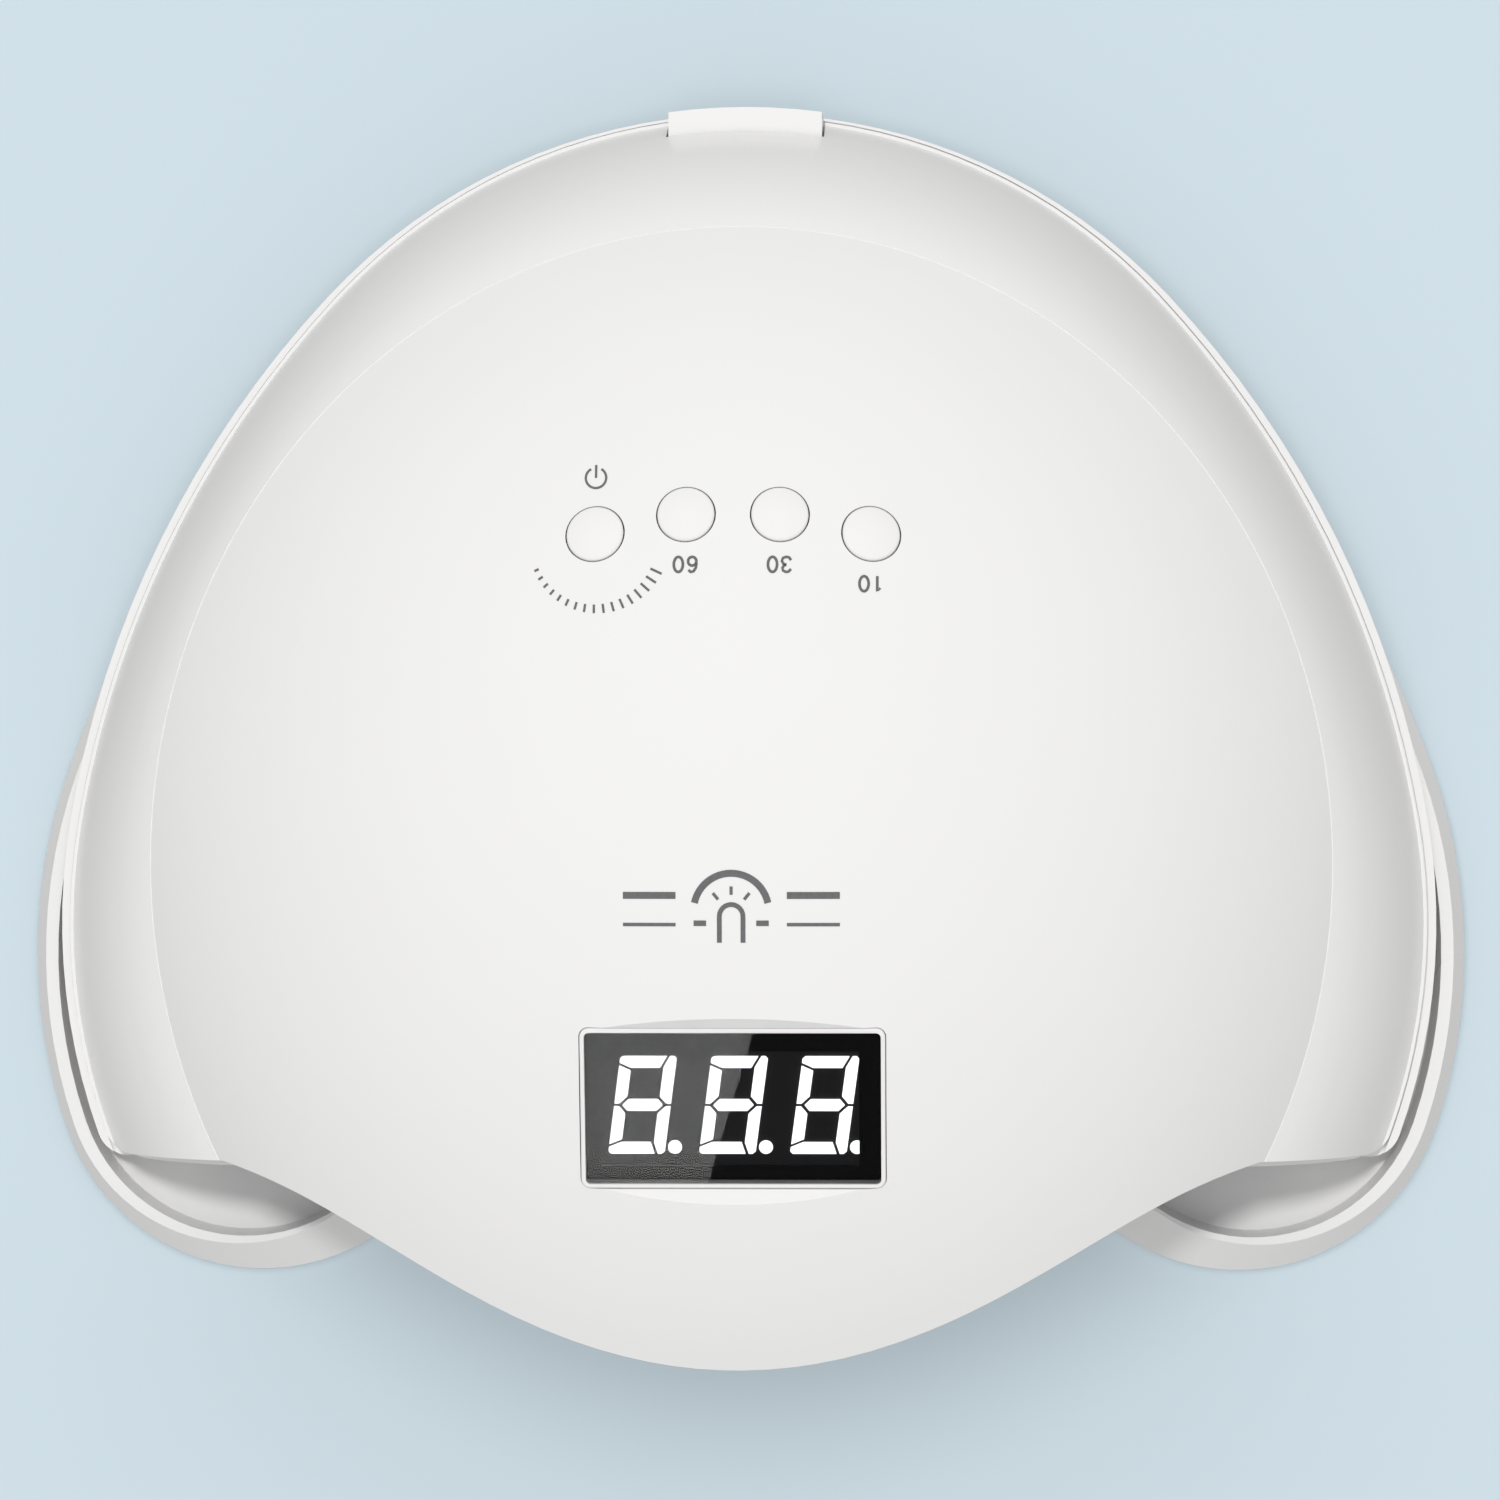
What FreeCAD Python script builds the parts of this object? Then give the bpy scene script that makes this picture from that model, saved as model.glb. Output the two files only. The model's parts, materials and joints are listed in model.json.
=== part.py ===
import FreeCAD, Part
import math
import os

# UV curing lamp: a domed head with a visor over its hand opening, resting on a loose base tray.
# Millimetres. +X right, -Y the hand opening, +Z up, origin under the middle of the lamp.

# ---- overall sizes ----
HEAD_HALF_WIDTH = 103.8      # widest half-width of the cover's rim
HEAD_REAR_Y = 93.7           # rearmost point of the cover's rim
DOME_HEIGHT = 94.0           # top of the cover above the table
VISOR_REACH = 112.4          # half-length of the dome's ellipsoid
DOME_CENTRE_Y = -15.4        # station of the dome's top

# ---- cover ----
WIDEST_Y = -29.6             # station of the rim's widest point
RIM_FRONT_RADIUS = 94.4
RIM_REAR_SWEEP = 47.0        # degrees turned by the rear arc
RIM_SIDE_SWEEP = 33.4        # degrees turned by the flatter side arc
RIM_FRONT_SWEEP = 33.9       # degrees turned by the arc past the widest point
RIM_Z = 16.0                 # height of the rim's widest outline
LIP_Z = 12.6                 # lower edge of the cover
LIP_PROUD = 0.5              # upright lip outside the foot of the skirt band
CREASE_Z = 50.0              # height of the crease under the dome's top
CREASE_SLOPE = 0.0725        # rise of the crease towards the rear
CREASE_LEDGE = 0.12          # step between the dome and the skirt band
BAND_OUT = 0.66              # fullness of the skirt band, outwards
BAND_UP = 0.74               # fullness of the skirt band, upwards
SHELL_WALL = 2.2
MOUTH_Y = -64.5              # plane of the hand opening
MOUTH_TOP = 67.0             # top of the hand opening
MOUTH_CORNER = 4.0           # rounding of the mouth's lower corners, in plan
ARCH_POWER = 4.5             # squareness of the opening's arch
BAND_STATIONS = 72
BAND_ROWS = 8
ARCH_STATIONS = 12           # on each half of the opening's arch
FIT_GAP = 0.3                # clearance between moulded pieces
OVERCUT = 1.0                # a cutter runs this far past the face it opens

# ---- base tray ----
FOOT_HEIGHT = 1.2
FOOT_RADIUS = 6.0
FOOT_SUNK = 0.6              # part of a foot's height let into the tray
TRAY_FLOOR = 2.4
TRAY_RIDGE_Z = 9.8           # top of the tray's rim
TRAY_EDGE_Z = 3.2            # height at which the outer wall starts to lean in
TRAY_REAR_INSET = 2.2        # the tray stays this far inside the head at the rear
TRAY_SIDE_MARGIN = 6.4       # and stands this far outside it at the sides
TRAY_WIDEST_Y = -34.3
TRAY_FRONT_RADIUS = 84.7
TRAY_REAR_SWEEP = 42.7
TRAY_SIDE_SWEEP = 27.7
TRAY_FRONT_SWEEP = 38.3
TRAY_LOBE_RADIUS = 32.1
TRAY_LOBE_SWEEP = 105.8
TRAY_DRAFT = 2.0             # lean of the outer wall
TRAY_LOBE_DRAFT = 3.3        # extra lean round the lobes
TRAY_RIDGE = 1.9             # width of the rim's flat top
TRAY_LOBE_RIDGE = 1.1        # the flat top is this much less wide round the lobes
TRAY_INNER_DRAFT = 0.8
MIRROR_THICK = 0.4
MIRROR_MARGIN = 9.0          # mirror inside the chamber's walls
MIRROR_FRONT_MARGIN = 2.0    # mirror behind the tray's front rim

# ---- lower housing ----
HOUSING_PROUD = 0.8          # edge seen outside the cover at the rear
HOUSING_SIDE_PROUD = 1.6     # and at the sides
SEAM_WIDE = 0.4              # shadow groove round the foot of the cover
SEAM_DEEP = 0.8
HOUSING_PLATE = 2.2
HOUSING_WALL = 2.0
HOUSING_LIP_Z = 5.8
MOUTH_PROUD = 0.8            # mouth face stands this far in front of the cover's edge
SKIRT_INSET = 1.0            # skirt under the housing's plate, in from the cover's rim
SKIRT_GAP = 0.6              # between that skirt and the tray's rim
MOUTH_FACE = 2.4
SOFFIT_RISE = 0.7            # soffit lies this far above the visor's edge
SOFFIT_THICK = 1.8

# ---- curing chamber ----
CHAMBER_FRONT_Y = -62.2
CHAMBER_REAR_Y = 62.0
CHAMBER_FOOT_Z = 7.0
CHAMBER_SIDE_MARGIN = 13.2   # from the cover's rim in to the chamber wall at the mouth
CHAMBER_REAR_MARGIN = 12.3   # the same at the rear
WALL_LEAN = 9.8
SLOPE_ANGLE = 40.2
WALL_TOP_FRONT = 36.0
WALL_TOP_REAR = 32.0
ROOF_DROP_FRONT = 6.5        # roof below the top of the mouth
ROOF_DROP_REAR = 17.0
REFLECTOR_WALL = 1.2

# ---- light sources ----
BOARD_THICK = 1.5
BOARD_GAP = 1.0              # between a board and the reflector's back
LENS_RADIUS = 3.4
LENS_FLANGE_RADIUS = 4.6
LENS_RISE = 2.2              # lens above the reflector's face
EMITTER_SIZE = 3.0
EMITTER_THICK = 0.8
LENS_GAP = 0.15
LENS_NECK = 0.2              # straight part of a lens above the reflector's face
BOARD_SCREW_RADIUS = 1.0
BOARD_SCREW_HEAD = 1.9
BOARD_SCREW_HEAD_TALL = 1.2
BOARD_BOSS_RADIUS = 2.6
BOARD_END_MARGIN = 7.0       # from a facet's ends to its board
BOARD_SIDE_MARGIN = 1.8
LENS_END_MARGIN = 7.5        # from a board's ends to the nearest lens
LENS_SIDE_MARGIN = 0.6
EMITTER_GAP = 0.1
SENSOR_RADIUS = 1.5
SENSOR_COLLAR = 2.0
SENSOR_LONG = 4.0
SENSOR_PROUD = 0.4
SENSOR_INSET = 3.0           # in from the mouth end of a wall

# ---- display ----
DISPLAY_Y = -55.7
DISPLAY_DEPTH = 2.2          # display face below the dome at its middle
BEZEL_WIDTH = 44.2
BEZEL_LENGTH = 24.6
BEZEL_CORNER = 1.4
BEZEL_FRAME = 0.65
BEZEL_DEEP = 6.0
BEZEL_GAP = 0.12
BEZEL_ROUND = 0.3
BEZEL_FLANGE = 2.2           # flange under the cover, outside the bezel
BEZEL_FLANGE_THICK = 1.0
POCKET_ANGLE = 36.0          # slope of the pocket in front of and behind the bezel
POCKET_RUN = 9.0
WINDOW_SUNK = 0.25
WINDOW_GAP = 0.05
WINDOW_THICK = 1.5
MODULE_SIDE = 3.4            # module inside the bezel's outline, each side
MODULE_END = 3.5             # and at the front and rear
MODULE_DEEP = 7.0
MODULE_SHIFT = -0.45         # module's middle from the bezel's, across
MODULE_DROP = 0.6            # and down the slope
DIGIT_PITCH = 0.353          # shares of the module's width
DIGIT_WIDTH = 0.219
DIGIT_HEIGHT = 0.852         # and of its length
DIGIT_SLANT = 7.5
DIGIT_SHIFT = 0.5            # digits right of the module's middle
DIGIT_LIFT = 0.5             # digits above the module's middle
POINT_RADIUS = 1.0
POINT_STEP = 0.4             # between a digit's foot and its point
SEGMENT_WIDTH = 1.75
SEGMENT_GAP = 0.5
SEGMENT_CORNER = 0.4         # cut corners of a digit
SEGMENT_SEAM = 0.55          # a seam's outer end from a digit's corner, in segment widths
SEGMENT_THICK = 0.25
SEGMENT_SUNK = 0.1           # between the window and the segments
DIGITS = 3

# ---- buttons ----
BUTTON_RADIUS = 4.15
BUTTON_GAP = 0.2
BUTTON_PROUD = 0.9           # top of a cap above the dome
BUTTON_CROWN = 14.0          # radius of a cap's domed top
BUTTON_FLANGE = 4.9
BUTTON_FLANGE_THICK = 1.0
BUTTON_TRAVEL = 0.5
BUTTON_ROUND = 0.45
BUTTON_SKIRT = 1.6           # straight side of a cap below the dome
BUTTON_STEM = 2.0
BUTTON_FLOAT = 0.7           # between a pressed cap's flange and the cover
BUTTON_ROOM = 2.2            # flange below its highest free place
BUTTONS = (("power", -20.0, 28.2), ("60", -6.8, 31.0), ("30", 6.8, 31.0), ("10", 20.0, 28.2))
SWITCH_SIZE = 6.0
SWITCH_TALL = 3.5
PLUNGER_RADIUS = 1.7
PLUNGER_GAP = 0.15
PLUNGER_TALL = 3.2
PLUNGER_PROUD = 1.2          # plunger above its switch
PLUNGER_FLOOR = 0.3          # left under a pressed plunger
CONTROL_DEEP = 13.0          # control board's upper face below the dome
CONTROL_LENGTH = 19.0
BOARD_MARGIN = 8.0
PCB_THICK = 1.6
PCB_SCREW_RADIUS = 1.25
PCB_SCREW_HEAD = 2.4
PCB_SCREW_HEAD_TALL = 1.6
PCB_SCREW_LONG = 6.0
PCB_BOSS_RADIUS = 2.8
PCB_SCREW_MARGIN = 0.6
CONTROL_SCREW_Y = 7.0

# ---- power inlet ----
SOCKET_WIDTH = 24.0          # notch in the cover's rear
SOCKET_GAP = 0.35
SOCKET_WALL = 1.2
SOCKET_BACK = 2.0
NOTCH_TOP_Z = 26.0
NOTCH_DEEP = 12.0
JACK_WIDTH = 9.0
JACK_TALL = 10.0
JACK_LONG = 13.0
JACK_BORE = 3.15
JACK_BORE_DEEP = 9.5
JACK_PIN = 1.0
JACK_PIN_SUNK = 1.0
JACK_RIM = 0.6               # wall round the bore
JACK_RECESS = 0.3            # the jack's nose inside the housing's edge
JACK_GAP = 0.05
JACK_CENTRE_Z = 18.0

# ---- driver board ----
DRIVER_Y = -4.0
DRIVER_WIDTH = 62.0
DRIVER_LENGTH = 44.0
COIL_RADIUS = 6.0
COIL_TALL = 7.0
CAN_RADIUS = 3.2
CAN_TALL = 9.0
SINK_TALL = 8.0
PLUG_TALL = 6.0
STANDOFF_RADIUS = 3.0
STANDOFF_TALL = 5.0
STANDOFF_MARGIN = 4.0        # in from the board's corners
STANDOFF_BITE = 3.0          # thread length in a standoff

# ---- fastening ----
BOSS_RADIUS = 3.2
SHELL_SCREW_RADIUS = 1.5
SHELL_SCREW_HEAD = 2.8
SHELL_SCREW_LONG = 14.0
SHELL_SCREW_HEAD_TALL = 2.0
SHELL_SCREW_GAP = 0.2
SHELL_SCREWS = ((-14.0, 9.8), (20.0, 9.8), (70.0, 12.8))    # bearing and distance in from the rim
MAGNET_RADIUS = 5.0
MAGNET_THICK = 2.4
PAD_THICK = 1.8
MAGNET_COLLAR = 2.0
PAD_COLLAR_TALL = 0.8
MAGNETS = ((0.0, 13.5), (80.0, 16.8))                      # bearing and distance in from the rim
FOOT_INSET = 14.0
FOOT_BEARINGS = (-35.0, 35.0, 90.0, 145.0, 215.0)

V = FreeCAD.Vector
FAR = 400.0
DOME_X = HEAD_HALF_WIDTH
PLATE_Z = LIP_Z - HOUSING_PLATE
TRAY_TOP = FOOT_HEIGHT + TRAY_FLOOR


def save(name, solids):
    shape = solids[0] if len(solids) == 1 else Part.makeCompound(solids)
    shape.exportStep("parts/" + name + ".step")


def box(x0, x1, y0, y1, z0, z1):
    return Part.makeBox(x1 - x0, y1 - y0, z1 - z0, V(x0, y0, z0))


def cylinder(radius, z0, z1, x=0.0, y=0.0):
    return Part.makeCylinder(radius, z1 - z0, V(x, y, z0))


def mirrored(shape):
    return shape.mirror(V(0, 0, 0), V(1, 0, 0))


# ---------------------------------------------------------------- outlines

def solved_arcs(rear_y, half_width, widest_y, front_radius, rear_sweep, side_sweep):
    """Radii of the rear and side arcs so that the outline is half_width wide at widest_y."""
    a = math.radians(rear_sweep)
    b = math.radians(rear_sweep + side_sweep)
    wide = half_width - front_radius * (1.0 - math.sin(b))
    long = rear_y - widest_y - front_radius * math.cos(b)
    sin_side = math.sin(b) - math.sin(a)
    cos_side = math.cos(a) - math.cos(b)
    rear_rise = 1.0 - math.cos(a)
    span = math.sin(a) * cos_side - sin_side * rear_rise
    rear = (wide * cos_side - long * sin_side) / span
    side = (long * math.sin(a) - wide * rear_rise) / span
    return rear, side


def arc_chain(rear_y, arcs, offset):
    """Right half of an outline: arcs turning clockwise from the rear, as centre, radius and angles."""
    x, y, heading = 0.0, rear_y + offset, 0.0
    chain = []
    for radius, sweep in arcs:
        r = radius + offset
        cx = x + r * math.sin(heading)
        cy = y - r * math.cos(heading)
        start = heading + math.pi / 2
        turned = heading - math.radians(sweep)
        end = turned + math.pi / 2
        chain.append((cx, cy, r, start, end))
        x = cx + r * math.cos(end)
        y = cy + r * math.sin(end)
        heading = turned
    close = x / abs(math.sin(heading))
    if heading < -math.pi:
        # hollow closing arc, turning the other way
        cy = y + close * math.cos(heading)
        chain.append((0.0, cy, close, math.atan2(y - cy, x), math.pi / 2))
    else:
        cy = y - close * math.cos(heading)
        chain.append((0.0, cy, close, math.atan2(y - cy, x), -math.pi / 2))
    return chain


def chain_point(arc, angle):
    return V(arc[0] + arc[2] * math.cos(angle), arc[1] + arc[2] * math.sin(angle), 0)


def chain_wire(chain, z):
    edges = []
    for arc in chain:
        middle = 0.5 * (arc[3] + arc[4])
        points = [chain_point(arc, angle) for angle in (arc[3], middle, arc[4])]
        edges.append(Part.Arc(*points).toShape())
    left = [Part.Arc(*[V(-p.x, p.y, 0) for p in (chain_point(arc, arc[4]),
                                               chain_point(arc, 0.5 * (arc[3] + arc[4])),
                                               chain_point(arc, arc[3]))]).toShape()
            for arc in reversed(chain)]
    wire = Part.Wire(edges + left)
    wire.translate(V(0, 0, z))
    return wire


def plate(chain, z0, z1):
    return Part.Face(chain_wire(chain, z0)).extrude(V(0, 0, z1 - z0))


def rim_chain(offset):
    rear, side = solved_arcs(HEAD_REAR_Y, HEAD_HALF_WIDTH, WIDEST_Y,
                             RIM_FRONT_RADIUS, RIM_REAR_SWEEP, RIM_SIDE_SWEEP)
    arcs = ((rear, RIM_REAR_SWEEP), (side, RIM_SIDE_SWEEP), (RIM_FRONT_RADIUS, RIM_FRONT_SWEEP))
    return arc_chain(HEAD_REAR_Y, arcs, offset)


def housing_chain(offset):
    """Outline of the housing's plate: outside the rim by one amount at the rear and another at the sides."""
    rear_y = HEAD_REAR_Y + HOUSING_PROUD
    front = RIM_FRONT_RADIUS + HOUSING_SIDE_PROUD
    rear, side = solved_arcs(rear_y, HEAD_HALF_WIDTH + HOUSING_SIDE_PROUD, WIDEST_Y,
                             front, RIM_REAR_SWEEP, RIM_SIDE_SWEEP)
    arcs = ((rear, RIM_REAR_SWEEP), (side, RIM_SIDE_SWEEP), (front, RIM_FRONT_SWEEP))
    return arc_chain(rear_y, arcs, offset)


def tray_chain(offset, lobe_extra=0.0):
    rear_y = HEAD_REAR_Y - TRAY_REAR_INSET
    rear, side = solved_arcs(rear_y, HEAD_HALF_WIDTH + TRAY_SIDE_MARGIN, TRAY_WIDEST_Y,
                             TRAY_FRONT_RADIUS, TRAY_REAR_SWEEP, TRAY_SIDE_SWEEP)
    arcs = ((rear, TRAY_REAR_SWEEP), (side, TRAY_SIDE_SWEEP),
            (TRAY_FRONT_RADIUS, TRAY_FRONT_SWEEP), (TRAY_LOBE_RADIUS - lobe_extra, TRAY_LOBE_SWEEP))
    return arc_chain(rear_y, arcs, offset)


def rim_at(bearing, inset):
    """Point inside the rim, on the ray from the dome's middle at a bearing in degrees from +X."""
    ray = V(math.cos(math.radians(bearing)), math.sin(math.radians(bearing)), 0)
    right = V(abs(ray.x), ray.y, 0)
    start = V(0, DOME_CENTRE_Y, 0)
    for cx, cy, r, a0, a1 in rim_chain(-inset):
        to_centre = V(cx, cy, 0) - start
        along = to_centre.dot(right)
        root = r * r - to_centre.dot(to_centre) + along * along
        if root < 0.0:
            continue
        hit = start + right * (along + math.sqrt(root))
        angle = math.atan2(hit.y - cy, hit.x - cx)
        if min(a0, a1) - 1e-6 <= angle <= max(a0, a1) + 1e-6:
            return V(math.copysign(hit.x, ray.x), hit.y, 0)
    raise ValueError("no rim at bearing %s" % bearing)


def rim_x(y, inset):
    """Half-width of the rim at a station."""
    for cx, cy, r, a0, a1 in rim_chain(-inset):
        reach = r * r - (y - cy) ** 2
        if reach < 0.0:
            continue
        angle = math.atan2(y - cy, math.sqrt(reach))
        if min(a0, a1) - 1e-6 <= angle <= max(a0, a1) + 1e-6:
            return cx + math.sqrt(reach)
    raise ValueError("no rim at station %s" % y)


# ---------------------------------------------------------------- outer form of the head

def crease_height(y):
    return CREASE_Z + CREASE_SLOPE * (y - DOME_CENTRE_Y)


def dome_z(x, y, inset=0.0):
    share = (x / (DOME_X - inset)) ** 2 + ((y - DOME_CENTRE_Y) / (VISOR_REACH - inset)) ** 2
    return (DOME_HEIGHT - inset) * math.sqrt(1.0 - share)


def crease_point(angle, inset):
    """Reach and height of the band's upper edge, just outside the dome, in a plan direction."""
    a = DOME_X - inset
    b = VISOR_REACH - inset
    c = DOME_HEIGHT - inset
    cos, sin = math.cos(angle), math.sin(angle)
    low = CREASE_Z - inset
    p = (cos / a) ** 2 + (sin / b) ** 2 + (CREASE_SLOPE * sin / c) ** 2
    q = 2.0 * low * CREASE_SLOPE * sin / c ** 2
    s = (low / c) ** 2 - 1.0
    reach = (-q + math.sqrt(q * q - 4.0 * p * s)) / (2.0 * p) + CREASE_LEDGE
    return reach, low + CREASE_SLOPE * reach * sin


def ellipsoid(inset):
    """The dome's whole ellipsoid, with its poles and seam kept off the part above the crease."""
    grow = FreeCAD.Matrix()
    grow.scale(V(DOME_X - inset, VISOR_REACH - inset, DOME_HEIGHT - inset))
    dome = Part.makeSphere(1.0)
    dome.rotate(V(0, 0, 0), V(1, 0, 0), 90)
    dome.rotate(V(0, 0, 0), V(0, 1, 0), 90)
    dome = dome.transformGeometry(grow)
    dome.translate(V(0, DOME_CENTRE_Y, 0))
    return dome


def band_grid(inset):
    """Stations of the skirt band: each a quadratic curve from the crease down to the rim."""
    grid = []
    for k in range(BAND_STATIONS):
        angle = -math.pi / 2 + 2.0 * math.pi * k / BAND_STATIONS
        cos, sin = math.cos(angle), math.sin(angle)
        reach, top = crease_point(angle, inset)
        foot = rim_at(math.degrees(angle), inset + LIP_PROUD)
        run = math.hypot(foot.x, foot.y - DOME_CENTRE_Y)
        mid = reach + BAND_OUT * (run - reach)
        mid_z = RIM_Z + BAND_UP * (top - RIM_Z)
        row = []
        for j in range(BAND_ROWS + 1):
            t = j / BAND_ROWS
            w0, w1, w2 = (1 - t) ** 2, 2 * t * (1 - t), t * t
            out = w0 * reach + w1 * mid + w2 * run
            up = w0 * top + w1 * mid_z + w2 * RIM_Z
            row.append(V(out * cos, DOME_CENTRE_Y + out * sin, up))
        grid.append(row)
    return grid + grid[:1]


def band(inset, bottom):
    """Skirt band with the upright lip below it."""
    surface = Part.BSplineSurface()
    surface.interpolate(band_grid(inset))
    side = surface.toShape()
    rings = [edge for edge in side.Edges if edge.valueAt(edge.FirstParameter).isEqual(
        edge.valueAt(edge.LastParameter), 1e-6)]
    ends = [Part.Face(Part.Wire([edge])) for edge in rings]
    shell = Part.Shell([side] + ends)
    shell.sewShape()
    solid = Part.Solid(shell)
    if solid.Volume < 0:
        solid.reverse()
    return solid.fuse(plate(rim_chain(-inset), bottom, RIM_Z))


def crease_wedge(z_shift):
    """Everything above the crease plane."""
    reach = FAR
    low = crease_height(-reach) + z_shift
    high = crease_height(reach) + z_shift
    profile = Part.makePolygon([V(-FAR, -reach, low), V(-FAR, reach, high), V(-FAR, reach, FAR),
                                V(-FAR, -reach, FAR), V(-FAR, -reach, low)])
    return Part.Face(profile).extrude(V(2 * FAR, 0, 0))


def head_form(inset, bottom):
    """Outer form of the head, shrunk by inset, down to the height bottom."""
    cap = ellipsoid(inset).common(crease_wedge(-inset))
    return cap.fuse(band(inset, bottom))


# ---------------------------------------------------------------- mouth of the head

def mouth_foot():
    """Half-width and height at which the crease meets the mouth's plane."""
    z = crease_height(MOUTH_Y)
    share = (z / DOME_HEIGHT) ** 2 + ((MOUTH_Y - DOME_CENTRE_Y) / VISOR_REACH) ** 2
    return DOME_X * math.sqrt(1.0 - share) + CREASE_LEDGE, z


def arch_edge(raised):
    foot_x, foot_z = mouth_foot()
    rise = MOUTH_TOP - foot_z
    points = []
    for k in range(-ARCH_STATIONS, ARCH_STATIONS + 1):
        share = math.sin(0.5 * math.pi * k / ARCH_STATIONS)
        points.append(V(foot_x * share, 0, foot_z + raised + rise * (1.0 - abs(share) ** ARCH_POWER)))
    curve = Part.BSplineCurve()
    curve.interpolate(points)
    return curve.toShape(), points[0], points[-1]


def under_arch(y0, y1, raised=0.0):
    """Space under the arch of the mouth and beside its feet."""
    edge, left, right = arch_edge(raised)
    sides = Part.makePolygon([right, V(right.x, 0, DOME_HEIGHT), V(FAR, 0, DOME_HEIGHT), V(FAR, 0, -FAR),
                              V(-FAR, 0, -FAR), V(-FAR, 0, DOME_HEIGHT), V(left.x, 0, DOME_HEIGHT), left])
    face = Part.Face(Part.Wire([edge] + sides.Edges))
    face.translate(V(0, y0, 0))
    return face.extrude(V(0, y1 - y0, 0))


def arch_block(y0, y1, raised):
    """Solid of the arch alone, between its feet."""
    edge, left, right = arch_edge(raised)
    sides = Part.makePolygon([right, V(right.x, 0, -FAR), V(left.x, 0, -FAR), left])
    face = Part.Face(Part.Wire([edge] + sides.Edges))
    face.translate(V(0, y0, 0))
    return face.extrude(V(0, y1 - y0, 0))


def mouth_corners(front, outline, r):
    """What is left outside the rounded corners between a plane and an outline, in plan."""
    side = next(arc for arc in outline if front >= chain_point(arc, arc[4]).y)
    cy = front + r
    cx = side[0] + math.sqrt((side[2] - r) ** 2 - (cy - side[1]) ** 2)
    out = math.atan2(cy - side[1], cx - side[0])
    touch = V(cx + r * math.cos(out), cy + r * math.sin(out), 0)
    half = 0.5 * (out - math.pi / 2)
    middle = V(cx + r * math.cos(half), cy + r * math.sin(half), 0)
    far_x = touch.x + 2.0 * MOUTH_CORNER
    far_y = front - 2.0 * MOUTH_CORNER
    arc = Part.Arc(V(cx, front, 0), middle, touch).toShape()
    sides = Part.makePolygon([touch, V(far_x, touch.y, 0), V(far_x, far_y, 0), V(cx, far_y, 0),
                              V(cx, front, 0)])
    face = Part.Face(Part.Wire([arc] + sides.Edges))
    corner = face.extrude(V(0, 0, crease_height(front)))
    return corner.fuse(mirrored(corner))


# ---------------------------------------------------------------- curing chamber

def line_cross(p, d, q, e):
    """Crossing of two lines in the X-Z plane, each a point and a direction."""
    cross = d[0] * e[1] - d[1] * e[0]
    t = ((q[0] - p[0]) * e[1] - (q[1] - p[1]) * e[0]) / cross
    return p[0] + t * d[0], p[1] + t * d[1]


def chamber_section(y, grown):
    """Right half of the chamber's section, from its foot to its roof, moved out by grown."""
    share = (y - CHAMBER_FRONT_Y) / (CHAMBER_REAR_Y - CHAMBER_FRONT_Y)
    foot_front = rim_x(MOUTH_Y, 0.0) - CHAMBER_SIDE_MARGIN
    foot_rear = rim_x(CHAMBER_REAR_Y, 0.0) - CHAMBER_REAR_MARGIN
    foot_x = foot_front + share * (foot_rear - foot_front)
    wall_top = WALL_TOP_FRONT + share * (WALL_TOP_REAR - WALL_TOP_FRONT)
    roof = roof_z(y)
    lean = math.tan(math.radians(WALL_LEAN))
    slope = math.radians(SLOPE_ANGLE)
    wall_x = foot_x - (wall_top - CHAMBER_FOOT_Z) * lean
    wall_dir = (-lean, 1.0)
    slope_dir = (-math.cos(slope), math.sin(slope))
    foot = (foot_x + grown / math.cos(math.radians(WALL_LEAN)), CHAMBER_FOOT_Z)
    on_slope = (wall_x + grown * math.sin(slope), wall_top + grown * math.cos(slope))
    shoulder = line_cross(foot, wall_dir, on_slope, slope_dir)
    corner = line_cross(on_slope, slope_dir, (0.0, roof + grown), (1.0, 0.0))
    return [V(foot[0], y, foot[1]), V(shoulder[0], y, shoulder[1]), V(corner[0], y, corner[1])]


def chamber_block(grown, y0, y1, drop=0.0):
    sections = []
    for y in (y0, y1):
        half = chamber_section(y, grown)
        low = V(half[0].x + drop * math.tan(math.radians(WALL_LEAN)), y, half[0].z - drop)
        half = [low] + half[1:]
        ring = half + [V(-p.x, p.y, p.z) for p in reversed(half)]
        sections.append(Part.makePolygon(ring + [ring[0]]))
    return Part.makeLoft(sections, True, True)


def above_plate(half):
    """The section with its foot raised above the housing's plate, where boards can lie."""
    share = (LIP_Z + FIT_GAP - half[0].z) / (half[1].z - half[0].z)
    return [half[0] + (half[1] - half[0]) * share] + half[1:]


def chamber_facets():
    """Name, four corners, rows and columns of lights on each facet of the chamber."""
    front = above_plate(chamber_section(CHAMBER_FRONT_Y, 0.0))
    rear = above_plate(chamber_section(CHAMBER_REAR_Y, 0.0))
    flip = [V(-p.x, p.y, p.z) for p in front], [V(-p.x, p.y, p.z) for p in rear]
    foot, shoulder = rear[0], rear[1]
    return (("roof", (front[2], rear[2], flip[1][2], flip[0][2]), 4, 3),
            ("slope_right", (front[1], rear[1], rear[2], front[2]), 5, 2),
            ("slope_left", (flip[0][2], flip[1][2], flip[1][1], flip[0][1]), 5, 2),
            ("wall_right", (front[0], rear[0], rear[1], front[1]), 5, 1),
            ("wall_left", (flip[0][1], flip[1][1], flip[1][0], flip[0][0]), 5, 1),
            ("rear", (V(-shoulder.x, foot.y, foot.z), V(shoulder.x, foot.y, foot.z),
                      shoulder, V(-shoulder.x, foot.y, shoulder.z)), 4, 1))


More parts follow.
